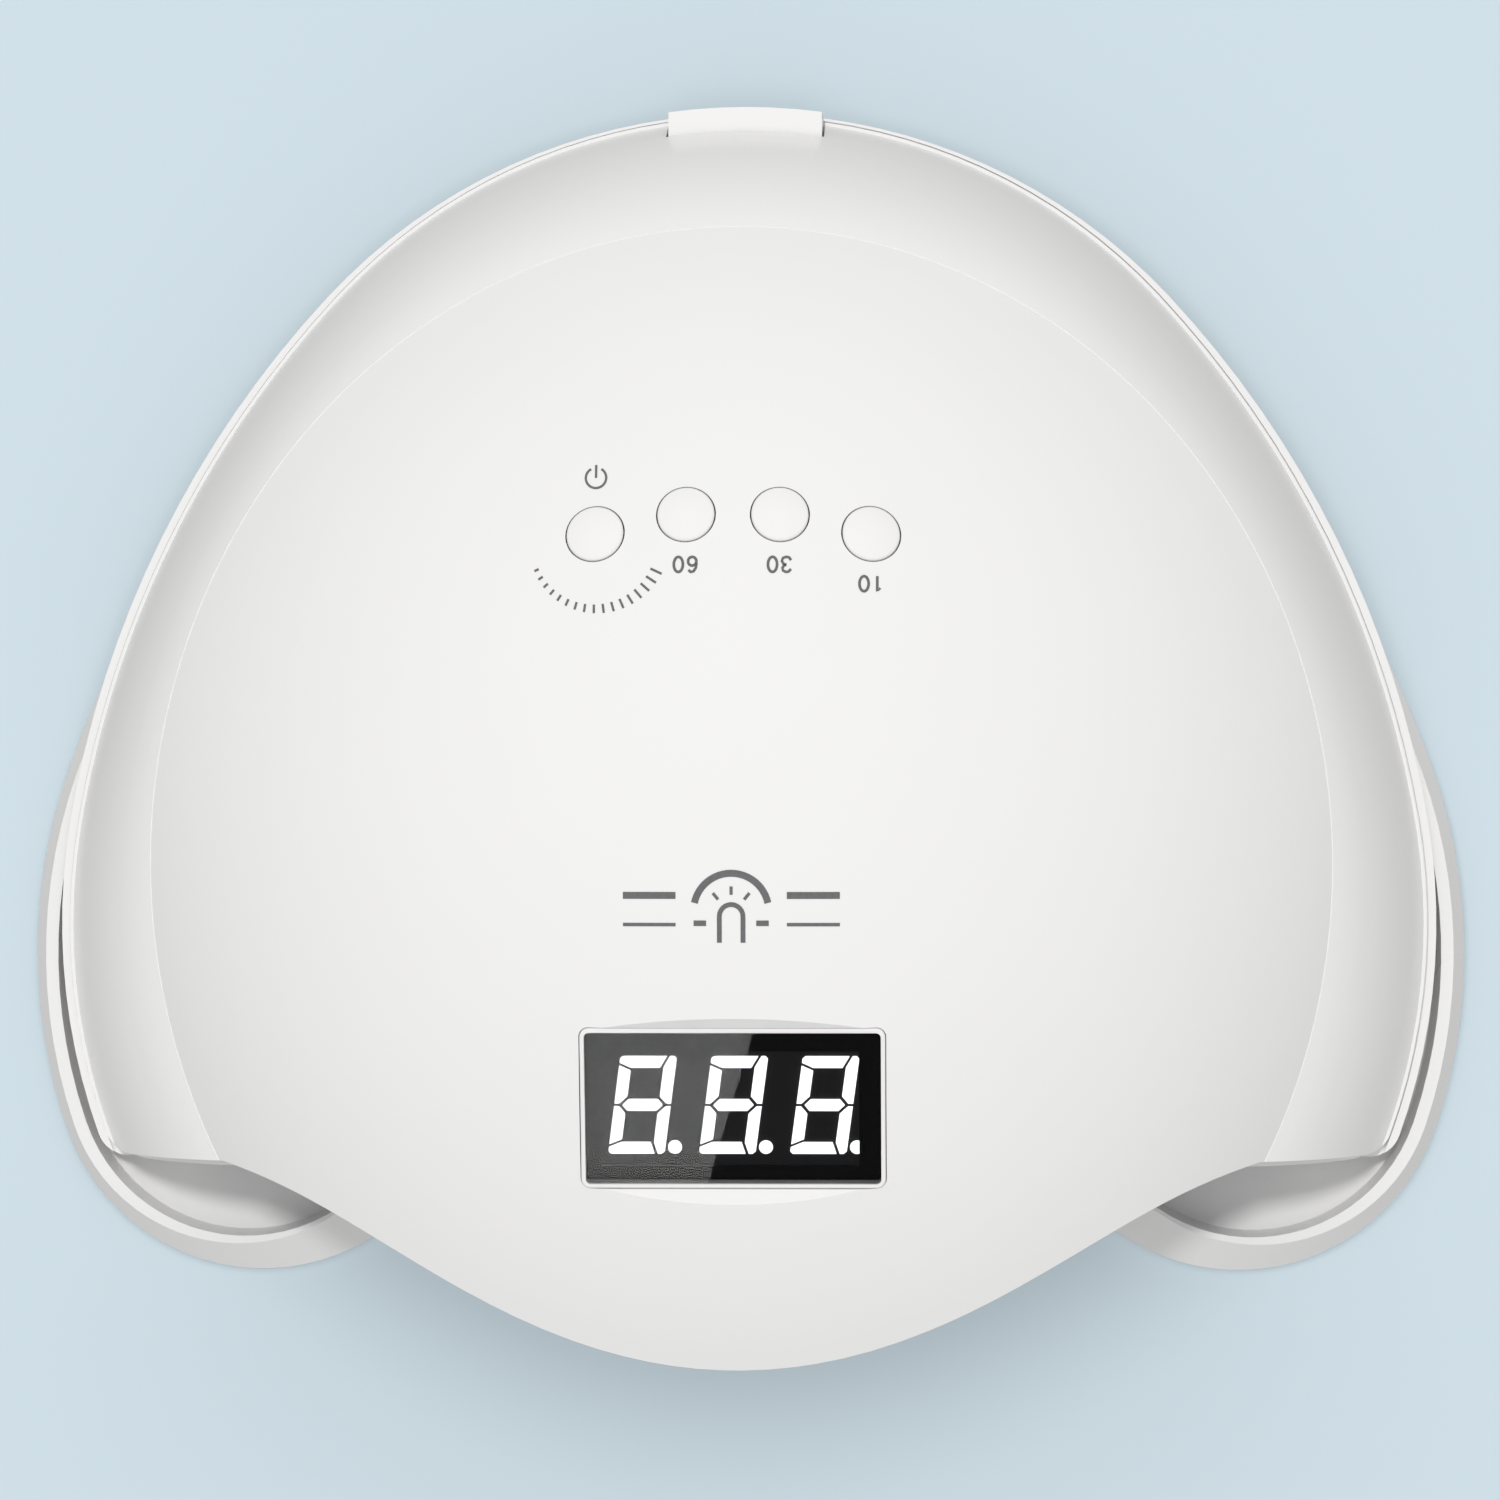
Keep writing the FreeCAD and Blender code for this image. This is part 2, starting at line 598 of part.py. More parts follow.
def facet_frame(corners):
    """Placement with X along the facet, Z into the chamber and its origin at the facet's middle."""
    p0, p1, p2, p3 = corners
    origin = (p0 + p1 + p2 + p3) * 0.25
    along = ((p1 + p2) - (p0 + p3)).normalize()
    across = ((p2 + p3) - (p0 + p1))
    normal = along.cross(across).normalize()
    inside = V(0, 0, CHAMBER_FOOT_Z) - origin
    if normal.dot(inside) < 0:
        normal = normal * -1.0
    across = normal.cross(along)
    matrix = FreeCAD.Matrix(along.x, across.x, normal.x, origin.x,
                            along.y, across.y, normal.y, origin.y,
                            along.z, across.z, normal.z, origin.z, 0, 0, 0, 1)
    long = 0.5 * ((p1 - p0).Length + (p2 - p3).Length)
    wide = min(abs((p3 - p0).dot(across)), abs((p2 - p1).dot(across)))
    return matrix, long, wide


def placed(shape, matrix):
    return shape.transformed(matrix)


class Facet:
    """One facet of the chamber with its board, lights and screws, in the lamp's frame."""

    def __init__(self, name, corners, columns, rows):
        self.name = name
        self.matrix, long, wide = facet_frame(corners)
        self.half_long = 0.5 * long - BOARD_END_MARGIN
        self.half_wide = 0.5 * wide - BOARD_SIDE_MARGIN
        pitch = 2.0 * (self.half_long - LENS_FLANGE_RADIUS - LENS_END_MARGIN) / max(columns - 1, 1)
        row_pitch = 2.0 * (self.half_wide - LENS_FLANGE_RADIUS - LENS_SIDE_MARGIN) / max(rows - 1, 1)
        self.spots = [((i - 0.5 * (columns - 1)) * pitch, (j - 0.5 * (rows - 1)) * row_pitch)
                      for i in range(columns) for j in range(rows)]
        edge = self.half_long - BOARD_SCREW_HEAD - PCB_SCREW_MARGIN
        self.screw_spots = ((-edge, 0.0), (edge, 0.0))
        self.back = -REFLECTOR_WALL
        self.board_top = self.back - BOARD_GAP
        self.board_low = self.board_top - BOARD_THICK
        self.screw_tip = self.back + 0.5 * REFLECTOR_WALL

    def put(self, shape):
        return placed(shape, self.matrix)

    def board(self):
        shape = box(-self.half_long, self.half_long, -self.half_wide, self.half_wide,
                    self.board_low, self.board_top)
        for x, y in self.screw_spots:
            shape = shape.cut(cylinder(BOARD_SCREW_RADIUS, self.board_low, self.board_top, x, y))
        return self.put(shape)

    def bosses(self):
        """Posts between the reflector's back and the board, each with its screw hole."""
        shapes = []
        for x, y in self.screw_spots:
            boss = cylinder(BOARD_BOSS_RADIUS, self.board_top, self.screw_tip, x, y)
            hole = cylinder(BOARD_SCREW_RADIUS, self.board_low, self.screw_tip, x, y)
            shapes.append((self.put(boss), self.put(hole)))
        return shapes

    def screws(self):
        shapes = []
        for x, y in self.screw_spots:
            head = cylinder(BOARD_SCREW_HEAD, self.board_low - BOARD_SCREW_HEAD_TALL, self.board_low, x, y)
            shank = cylinder(BOARD_SCREW_RADIUS, self.board_low, self.screw_tip, x, y)
            shapes.append(self.put(head.fuse(shank).removeSplitter()))
        return shapes

    def lens_holes(self):
        radius = LENS_RADIUS + LENS_GAP
        return [self.put(cylinder(radius, self.back - OVERCUT, OVERCUT, x, y)) for x, y in self.spots]

    def lenses(self):
        shapes = []
        sunk = (LENS_RADIUS ** 2 - LENS_RISE ** 2) / (2.0 * LENS_RISE)
        ball = math.hypot(LENS_RADIUS, sunk)
        half = 0.5 * EMITTER_SIZE + EMITTER_GAP
        room_top = self.board_top + EMITTER_THICK + EMITTER_GAP
        for x, y in self.spots:
            flange = cylinder(LENS_FLANGE_RADIUS, self.board_top, self.back, x, y)
            neck = cylinder(LENS_RADIUS, self.board_top, LENS_NECK, x, y)
            top = Part.makeSphere(ball, V(x, y, LENS_NECK - sunk))
            top = top.common(cylinder(LENS_FLANGE_RADIUS, LENS_NECK, LENS_NECK + ball, x, y))
            room = box(x - half, x + half, y - half, y + half, self.board_top, room_top)
            shapes.append(self.put(flange.fuse(neck).fuse(top).cut(room)))
        return shapes

    def emitters(self):
        half = 0.5 * EMITTER_SIZE
        return [self.put(box(x - half, x + half, y - half, y + half,
                             self.board_top, self.board_top + EMITTER_THICK)) for x, y in self.spots]


def sensor_spots():
    """Infrared sensor pair, one in each wall near the mouth."""
    spots = []
    for facet, name in ((3, "receiver"), (4, "emitter")):
        corners = chamber_facets()[facet][1]
        matrix, long, _ = facet_frame(corners)
        along = 0.5 * long - SENSOR_INSET
        spots.append((name, matrix, along if corners[0].y > corners[1].y else -along))
    return spots


def sensor(matrix, x):
    body = cylinder(SENSOR_RADIUS, -SENSOR_LONG, SENSOR_PROUD, x, 0.0)
    collar = cylinder(SENSOR_COLLAR, -SENSOR_LONG, -REFLECTOR_WALL, x, 0.0)
    return placed(body.fuse(collar), matrix)


def reflector(facets):
    outer = chamber_block(REFLECTOR_WALL, CHAMBER_FRONT_Y, CHAMBER_REAR_Y + REFLECTOR_WALL)
    inner = chamber_block(0.0, CHAMBER_FRONT_Y - OVERCUT, CHAMBER_REAR_Y, OVERCUT)
    shape = outer.cut(inner)
    for facet in facets:
        for boss, hole in facet.bosses():
            shape = shape.fuse(boss).cut(hole)
    holes = [hole for facet in facets for hole in facet.lens_holes()]
    for _, matrix, x in sensor_spots():
        hole = cylinder(SENSOR_RADIUS + LENS_GAP, -REFLECTOR_WALL - OVERCUT, OVERCUT, x, 0.0)
        holes.append(placed(hole, matrix))
    return shape.cut(Part.makeCompound(holes))


# ---------------------------------------------------------------- display

def display_frame():
    slope = math.atan2(DOME_HEIGHT ** 2 / VISOR_REACH ** 2 * (DISPLAY_Y - DOME_CENTRE_Y),
                       dome_z(0, DISPLAY_Y))
    normal = V(0, math.sin(slope), math.cos(slope))
    origin = V(0, DISPLAY_Y, dome_z(0, DISPLAY_Y)) - normal * DISPLAY_DEPTH
    return FreeCAD.Matrix(1, 0, 0, 0, 0, normal.z, normal.y, origin.y,
                          0, -normal.y, normal.z, origin.z, 0, 0, 0, 1)


def rounded_plate(wide, long, corner, z0, z1):
    shape = box(-wide / 2, wide / 2, -long / 2, long / 2, z0, z1)
    upright = [e for e in shape.Edges if abs(e.Vertexes[0].Z - e.Vertexes[-1].Z) > 1e-6]
    return shape.makeFillet(corner, upright)


def display_opening():
    """Through hole for the bezel and the sloping pocket in front of and behind it."""
    x = 0.5 * BEZEL_WIDTH + BEZEL_GAP
    half = 0.5 * BEZEL_LENGTH + BEZEL_GAP
    hole = rounded_plate(2 * x, 2 * half, BEZEL_CORNER + BEZEL_GAP, -POCKET_RUN, POCKET_RUN)
    rise = POCKET_RUN * math.tan(math.radians(POCKET_ANGLE))
    reach = half + POCKET_RUN
    profile = Part.makePolygon([V(-x, -half, 0), V(-x, -reach, rise), V(-x, reach, rise), V(-x, half, 0),
                                V(-x, -half, 0)])
    pocket = Part.Face(profile).extrude(V(2 * x, 0, 0))
    return placed(hole.fuse(pocket), display_frame())


def window_size(gap):
    return BEZEL_WIDTH - 2 * (BEZEL_FRAME + gap), BEZEL_LENGTH - 2 * (BEZEL_FRAME + gap)


def bezel():
    outer = rounded_plate(BEZEL_WIDTH, BEZEL_LENGTH, BEZEL_CORNER, -BEZEL_DEEP, 0)
    top = [e for e in outer.Edges if e.BoundBox.ZMin > -1e-6]
    outer = outer.makeFillet(min(BEZEL_ROUND, 0.45 * BEZEL_FRAME), top)
    flange = rounded_plate(BEZEL_WIDTH + 2 * BEZEL_FLANGE, BEZEL_LENGTH + 2 * BEZEL_FLANGE, BEZEL_CORNER,
                           -BEZEL_DEEP, -BEZEL_DEEP + BEZEL_FLANGE_THICK)
    wide, long = window_size(0.0)
    inside = rounded_plate(wide, long, BEZEL_CORNER - BEZEL_FRAME, -BEZEL_DEEP - OVERCUT, OVERCUT)
    return placed(outer.fuse(flange).cut(inside).removeSplitter(), display_frame())


def window():
    wide, long = window_size(WINDOW_GAP)
    pane = rounded_plate(wide, long, BEZEL_CORNER - BEZEL_FRAME, -WINDOW_SUNK - WINDOW_THICK, -WINDOW_SUNK)
    return placed(pane, display_frame())


def module_size():
    return BEZEL_WIDTH - 2 * MODULE_SIDE, BEZEL_LENGTH - 2 * MODULE_END


def digit_size():
    width, length = module_size()
    return DIGIT_WIDTH * width, DIGIT_HEIGHT * length


def module_block(low, top):
    width, length = module_size()
    left = MODULE_SHIFT - width / 2
    front = -MODULE_DROP - length / 2
    return box(left, left + width, front, front + length, low, top)


def module_top():
    return -WINDOW_SUNK - WINDOW_THICK - SEGMENT_SUNK - SEGMENT_THICK


def digit_outlines():
    """Outlines of the seven segments of a digit, upright, about its middle."""
    w, h = [0.5 * size for size in digit_size()]
    s, g = SEGMENT_WIDTH, SEGMENT_GAP
    c = SEGMENT_CORNER
    out = SEGMENT_SEAM * s
    tip = 0.4 * s
    top = ((-w, h - c), (-w + c, h), (w - out - g, h), (w - s - g, h - s), (s - w, h - s), (-w, h - out))
    left = ((-w, h - out - g), (s - w, h - s - g), (s - w, 0.5 * s + g), (tip - w, 0.5 * g), (-w, 0.5 * g))
    right = ((w - out, h), (w - c, h), (w, h - c), (w, 0.5 * g), (w - tip, 0.5 * g), (w - s, 0.5 * s + g),
             (w - s, h - s))
    end = w - tip - g
    shoulder = w - s - 0.5 * g
    middle = ((-end, 0), (-shoulder, 0.5 * s), (shoulder, 0.5 * s), (end, 0), (shoulder, -0.5 * s),
              (-shoulder, -0.5 * s))
    upper = [top, left, right]
    lower = [tuple((x, -y) for x, y in outline) for outline in upper]
    return upper + lower + [middle]


def segments():
    low = module_top()
    width, height = digit_size()
    pitch = DIGIT_PITCH * module_size()[0]
    lean = math.tan(math.radians(DIGIT_SLANT))
    lift = DIGIT_LIFT - MODULE_DROP
    shapes = []
    for k in range(DIGITS):
        middle = MODULE_SHIFT + DIGIT_SHIFT + (k - 0.5 * (DIGITS - 1)) * pitch
        for outline in digit_outlines():
            ring = [V(middle + x + lean * y, lift + y, low) for x, y in outline]
            shapes.append(Part.Face(Part.makePolygon(ring + ring[:1])).extrude(V(0, 0, SEGMENT_THICK)))
        foot = POINT_RADIUS - 0.5 * height
        x = middle + 0.5 * width + lean * foot + POINT_STEP + POINT_RADIUS
        point = cylinder(POINT_RADIUS, low, low + SEGMENT_THICK, x, lift + foot)
        shapes.append(point.common(module_block(low, low + SEGMENT_THICK)))
    return [placed(shape, display_frame()) for shape in shapes]


# ---------------------------------------------------------------- buttons and control board

def control_frame():
    """Frame on the dome in the middle of the buttons, Z out of the dome."""
    y = 0.5 * (BUTTONS[0][2] + BUTTONS[1][2])
    slope = math.atan2(DOME_HEIGHT ** 2 / VISOR_REACH ** 2 * (y - DOME_CENTRE_Y), dome_z(0, y))
    n = V(0, math.sin(slope), math.cos(slope))
    return FreeCAD.Matrix(1, 0, 0, 0, 0, n.z, n.y, y, 0, -n.y, n.z, dome_z(0, y), 0, 0, 0, 1)


def button_spot(x, y):
    """Place of a button's middle on the dome, in the control frame."""
    return control_frame().inverse().multiply(V(x, y, dome_z(x, y)))


def dome_normal(x, y):
    lean = V(x / DOME_X ** 2, (y - DOME_CENTRE_Y) / VISOR_REACH ** 2, dome_z(x, y) / DOME_HEIGHT ** 2)
    return lean.normalize()


def lower_half(z):
    return placed(box(-FAR, FAR, -FAR, FAR, z - FAR, z), control_frame())


def button_parts(x, y):
    """Cap and switch plunger of one button."""
    spot = button_spot(x, y)
    top = spot.z - SHELL_WALL - BUTTON_TRAVEL - BUTTON_FLOAT
    low = top - BUTTON_ROOM
    plunger_top = -CONTROL_DEEP + SWITCH_TALL + PLUNGER_PROUD
    post = placed(cylinder(BUTTON_RADIUS, low, spot.z + BUTTON_CROWN, spot.x, spot.y), control_frame())
    outward = dome_normal(x, y)
    middle = V(x, y, dome_z(x, y)) + outward * (BUTTON_PROUD - BUTTON_CROWN)
    crown = Part.makeSphere(BUTTON_CROWN, middle, outward)
    cap = post.common(crown).fuse(post.common(lower_half(spot.z - BUTTON_SKIRT))).removeSplitter()
    rim = max(cap.Faces, key=lambda face: face.CenterOfMass.z)
    cap = cap.makeFillet(BUTTON_ROUND, rim.OuterWire.Edges)
    flange = cylinder(BUTTON_FLANGE, low, low + BUTTON_FLANGE_THICK, spot.x, spot.y)
    stem = cylinder(BUTTON_STEM, plunger_top, low, spot.x, spot.y)
    cap = cap.fuse(placed(flange, control_frame())).fuse(placed(stem, control_frame()))
    plunger = cylinder(PLUNGER_RADIUS, plunger_top - PLUNGER_TALL, plunger_top, spot.x, spot.y)
    return cap.removeSplitter(), placed(plunger, control_frame())


def button_holes():
    holes = []
    for _, x, y in BUTTONS:
        spot = button_spot(x, y)
        low, high = spot.z - CONTROL_DEEP, spot.z + CONTROL_DEEP
        hole = cylinder(BUTTON_RADIUS + BUTTON_GAP, low, high, spot.x, spot.y)
        holes.append(placed(hole, control_frame()))
    return holes


def control_half_width():
    return BUTTONS[-1][1] + BOARD_MARGIN


def control_screw_spots():
    x = control_half_width() - PCB_SCREW_HEAD - PCB_SCREW_MARGIN
    return ((-x, -CONTROL_SCREW_Y), (x, -CONTROL_SCREW_Y), (0.0, CONTROL_SCREW_Y))


def control_board():
    x = control_half_width()
    low = -CONTROL_DEEP - PCB_THICK
    shape = box(-x, x, -CONTROL_LENGTH / 2, CONTROL_LENGTH / 2, low, -CONTROL_DEEP)
    for sx, sy in control_screw_spots():
        shape = shape.cut(cylinder(PCB_SCREW_RADIUS, low, -CONTROL_DEEP, sx, sy))
    return placed(shape, control_frame())


def pcb_screw(x, y, face, into):
    """Screw with its head on a board's face, reaching PCB_SCREW_LONG from it; into is its direction."""
    ends = sorted((face, face - into * PCB_SCREW_HEAD_TALL))
    head = cylinder(PCB_SCREW_HEAD, ends[0], ends[1], x, y)
    ends = sorted((face, face + into * PCB_SCREW_LONG))
    return head.fuse(cylinder(PCB_SCREW_RADIUS, ends[0], ends[1], x, y)).removeSplitter()


def control_screws():
    low = -CONTROL_DEEP - PCB_THICK
    return [placed(pcb_screw(x, y, low, 1), control_frame()) for x, y in control_screw_spots()]


def switches():
    shapes = []
    top = -CONTROL_DEEP + SWITCH_TALL
    half = SWITCH_SIZE / 2
    well_low = top + PLUNGER_PROUD - PLUNGER_TALL - BUTTON_TRAVEL - PLUNGER_FLOOR
    for _, x, y in BUTTONS:
        spot = button_spot(x, y)
        body = box(spot.x - half, spot.x + half, spot.y - half, spot.y + half, -CONTROL_DEEP, top)
        well = cylinder(PLUNGER_RADIUS + PLUNGER_GAP, well_low, top, spot.x, spot.y)
        shapes.append(placed(body.cut(well), control_frame()))
    return shapes


# ---------------------------------------------------------------- cover

def both_sides(spots):
    """Points at a list of bearings and insets on the right, and the same on the left."""
    right = [rim_at(bearing, inset) for bearing, inset in spots]
    return right + [V(-p.x, p.y, p.z) for p in right]


def shell_screw_spots():
    return both_sides(SHELL_SCREWS)


def rear_notch():
    half = SOCKET_WIDTH / 2
    return box(-half, half, HEAD_REAR_Y - NOTCH_DEEP, HEAD_REAR_Y + NOTCH_DEEP, 0, NOTCH_TOP_Z)


def top_shell():
    inside = head_form(SHELL_WALL, LIP_Z - OVERCUT)
    shape = head_form(0.0, LIP_Z).cut(inside)
    bosses = []
    for p in shell_screw_spots():
        bosses.append(cylinder(BOSS_RADIUS, LIP_Z, CREASE_Z, p.x, p.y))
    for x, y in control_screw_spots():
        bosses.append(placed(cylinder(PCB_BOSS_RADIUS, -CONTROL_DEEP, 0, x, y), control_frame()))
    into_wall = head_form(0.8 * SHELL_WALL, LIP_Z - OVERCUT)
    shape = shape.fuse([boss.common(into_wall) for boss in bosses])
    cuts = [under_arch(MOUTH_Y - FAR, MOUTH_Y), mouth_corners(MOUTH_Y, rim_chain(0.0), MOUTH_CORNER)]
    cuts += [rear_notch(), display_opening()]
    cuts += button_holes()
    for p in shell_screw_spots():
        cuts.append(cylinder(SHELL_SCREW_RADIUS, 0, PLATE_Z + SHELL_SCREW_LONG, p.x, p.y))
    for x, y in control_screw_spots():
        low = -CONTROL_DEEP - PCB_THICK
        cuts.append(placed(cylinder(PCB_SCREW_RADIUS, low, low + PCB_SCREW_LONG, x, y), control_frame()))
    for cut in cuts:
        shape = shape.cut(cut)
    return shape


def shell_screws():
    """Screws up through the housing's plate into the cover's posts."""
    shapes = []
    for p in shell_screw_spots():
        head = cylinder(SHELL_SCREW_HEAD, PLATE_Z - SHELL_SCREW_HEAD_TALL, PLATE_Z, p.x, p.y)
        shank = cylinder(SHELL_SCREW_RADIUS, PLATE_Z, PLATE_Z + SHELL_SCREW_LONG, p.x, p.y)
        shapes.append(head.fuse(shank).removeSplitter())
    return shapes


# ---------------------------------------------------------------- lower housing

def magnet_spots():
    return both_sides(MAGNETS)


def pocket_chain(offset):
    """Foot of the tray's inner wall."""
    inward = TRAY_DRAFT + TRAY_RIDGE + TRAY_INNER_DRAFT
    return tray_chain(offset - inward, TRAY_LOBE_DRAFT - TRAY_LOBE_RIDGE)


def skirt_block(inset, z0, z1):
    """Inside of the tray's rim and of the cover's rim, whichever is the smaller."""
    under = plate(rim_chain(-SKIRT_INSET - inset), z0, z1)
    return under.common(plate(pocket_chain(-SKIRT_GAP - inset), z0, z1))


def mouth_face(front):
    """Upright face round the hand opening and the soffit that runs forward from it under the visor."""
    inside = head_form(SHELL_WALL + FIT_GAP, HOUSING_LIP_Z)
    back = front + MOUTH_FACE
    foot_z = mouth_foot()[1]
    low = box(-FAR, FAR, -FAR, FAR, -FAR, foot_z)
    high = box(-FAR, FAR, -FAR, FAR, foot_z, FAR)
    top = SOFFIT_RISE + SOFFIT_THICK
    face = box(-FAR, FAR, front, back, HOUSING_LIP_Z, FAR).common(inside)
    face = face.common(arch_block(-FAR, FAR, top).fuse(low))
    corner = MOUTH_CORNER - SHELL_WALL - FIT_GAP
    face = face.cut(mouth_corners(front, rim_chain(-SHELL_WALL - FIT_GAP), corner))
    soffit = arch_block(-FAR, back, top).cut(arch_block(-FAR, back, SOFFIT_RISE))
    return face.fuse(soffit.common(inside).common(high))


def lower_housing():
    front = MOUTH_Y - MOUTH_PROUD
    base = plate(housing_chain(0.0), PLATE_Z, LIP_Z)
    groove = plate(rim_chain(SEAM_WIDE), LIP_Z - SEAM_DEEP, LIP_Z)
    groove = groove.cut(plate(rim_chain(0.0), LIP_Z - SEAM_DEEP, LIP_Z))
    skirt = skirt_block(0.0, HOUSING_LIP_Z, PLATE_Z).cut(skirt_block(HOUSING_WALL, 0, PLATE_Z))
    shape = base.cut(groove).fuse(skirt).cut(box(-FAR, FAR, -FAR, front, -FAR, FAR))
    shape = shape.cut(mouth_corners(front, housing_chain(0.0), MOUTH_CORNER + MOUTH_PROUD))
    shape = shape.fuse(mouth_face(front))
    rear = CHAMBER_REAR_Y + REFLECTOR_WALL + FIT_GAP
    shape = shape.cut(chamber_block(REFLECTOR_WALL + FIT_GAP, CHAMBER_FRONT_Y, rear, CHAMBER_FOOT_Z))
    way_in = box(-FAR, FAR, front - OVERCUT, CHAMBER_FRONT_Y + OVERCUT, -FAR, FAR)
    shape = shape.cut(way_in.common(mouth_tunnel()))
    for p in shell_screw_spots():
        shape = shape.cut(cylinder(SHELL_SCREW_RADIUS + SHELL_SCREW_GAP, 0, LIP_Z, p.x, p.y))
    for p in magnet_spots():
        collar = cylinder(MAGNET_RADIUS + MAGNET_COLLAR, HOUSING_LIP_Z, PLATE_Z, p.x, p.y)
        seat = cylinder(MAGNET_RADIUS, 0, HOUSING_LIP_Z + MAGNET_THICK, p.x, p.y)
        shape = shape.fuse(collar).cut(seat)
    return shape.fuse(socket_block()).removeSplitter()


def mouth_tunnel():
    """Way into the chamber through the mouth face."""
    near = chamber_section(CHAMBER_FRONT_Y, 0.0)
    ring = [V(near[0].x, 0, 0)] + [V(p.x, 0, p.z) for p in near]
    ring = ring + [V(-p.x, 0, p.z) for p in reversed(ring)]
    face = Part.Face(Part.makePolygon(ring + [ring[0]]))
    face.translate(V(0, -FAR, 0))
    return face.extrude(V(0, 2 * FAR, 0))


def jack_block(rear):
    x = JACK_WIDTH / 2
    z = JACK_TALL / 2
    return box(-x, x, rear - JACK_LONG, rear - SOCKET_WALL, JACK_CENTRE_Z - z, JACK_CENTRE_Z + z)


def along_y(radius, y0, y1):
    return Part.makeCylinder(radius, y1 - y0, V(0, y0, JACK_CENTRE_Z), V(0, 1, 0))


def socket_block():
    """Raised block in the cover's rear notch, flush with the housing's edge, round the power inlet."""
    half = SOCKET_WIDTH / 2 - SOCKET_GAP
    rear = HEAD_REAR_Y + HOUSING_PROUD
    block = box(-half, half, rear - JACK_LONG - SOCKET_BACK, rear, PLATE_Z, NOTCH_TOP_Z - SOCKET_GAP)
    block = block.common(plate(housing_chain(0.0), PLATE_Z, NOTCH_TOP_Z))
    eye = along_y(JACK_BORE + JACK_RIM + JACK_GAP, rear - 2 * SOCKET_WALL, rear + OVERCUT)
    return block.cut(jack_block(rear)).cut(eye)


def jack():
    rear = HEAD_REAR_Y + HOUSING_PROUD
    nose_y = rear - JACK_RECESS
    nose = along_y(JACK_BORE + JACK_RIM, rear - SOCKET_WALL, nose_y)
    bore = along_y(JACK_BORE, nose_y - JACK_BORE_DEEP, nose_y)
    pin = along_y(JACK_PIN, nose_y - JACK_BORE_DEEP, nose_y - JACK_PIN_SUNK)
    return jack_block(rear).fuse(nose).cut(bore).removeSplitter(), pin


# ---------------------------------------------------------------- driver board

def roof_z(y):
    """Height of the chamber's roof at a station."""
    share = (y - CHAMBER_FRONT_Y) / (CHAMBER_REAR_Y - CHAMBER_FRONT_Y)
    return MOUTH_TOP - (ROOF_DROP_FRONT + share * (ROOF_DROP_REAR - ROOF_DROP_FRONT))


def driver_z():
    return roof_z(DRIVER_Y - 0.5 * DRIVER_LENGTH) + REFLECTOR_WALL + BOARD_GAP + BOARD_THICK + STANDOFF_TALL


def driver_corners():
    x = DRIVER_WIDTH / 2 - STANDOFF_MARGIN
    y = DRIVER_LENGTH / 2 - STANDOFF_MARGIN
    return [(sx * x, DRIVER_Y + sy * y) for sx in (-1, 1) for sy in (-1, 1)]


def standoffs(roof_board):
    """Posts that stand on the sloping roof board and carry the level driver board."""
    above = roof_board.put(box(-FAR, FAR, -FAR, FAR, -FAR, roof_board.board_low))
    shapes = []
    for x, y in driver_corners():
        post = cylinder(STANDOFF_RADIUS, roof_z(y), driver_z(), x, y).common(above)
        shapes.append(post.cut(cylinder(PCB_SCREW_RADIUS, driver_z() - STANDOFF_BITE, driver_z(), x, y)))
    return shapes


def driver_board():
    z = driver_z()
    x = DRIVER_WIDTH / 2
    y = DRIVER_LENGTH / 2
    shape = box(-x, x, DRIVER_Y - y, DRIVER_Y + y, z, z + PCB_THICK)
    for x, y in driver_corners():
        shape = shape.cut(cylinder(PCB_SCREW_RADIUS, z, z + PCB_THICK, x, y))
    return shape


def driver_screws():
    z = driver_z()
    shapes = []
    for x, y in driver_corners():
        head = cylinder(PCB_SCREW_HEAD, z + PCB_THICK, z + PCB_THICK + PCB_SCREW_HEAD_TALL, x, y)
        shank = cylinder(PCB_SCREW_RADIUS, z - STANDOFF_BITE, z + PCB_THICK, x, y)
        shapes.append(head.fuse(shank).removeSplitter())
    return shapes


def driver_components():
    """Coil, two capacitors, a finned heat sink and a plug on the driver board."""
    z = driver_z() + PCB_THICK
    y = DRIVER_Y
    coil = cylinder(COIL_RADIUS, z, z + COIL_TALL, -16.0, y + 4.0)
    cans = [cylinder(CAN_RADIUS, z, z + CAN_TALL, x, y - 9.0) for x in (-6.0, 2.0)]
    sink = box(10.0, 24.0, y - 6.0, y - 3.0, z, z + SINK_TALL)
    for k in range(3):
        sink = sink.fuse(box(11.0 + 5.0 * k, 13.0 + 5.0 * k, y - 3.0, y + 3.0, z, z + SINK_TALL))
    plug = box(-4.0, 6.0, y + 12.0, y + 18.0, z, z + PLUG_TALL)
    return [coil] + cans + [sink.removeSplitter(), plug]


# ---------------------------------------------------------------- base tray

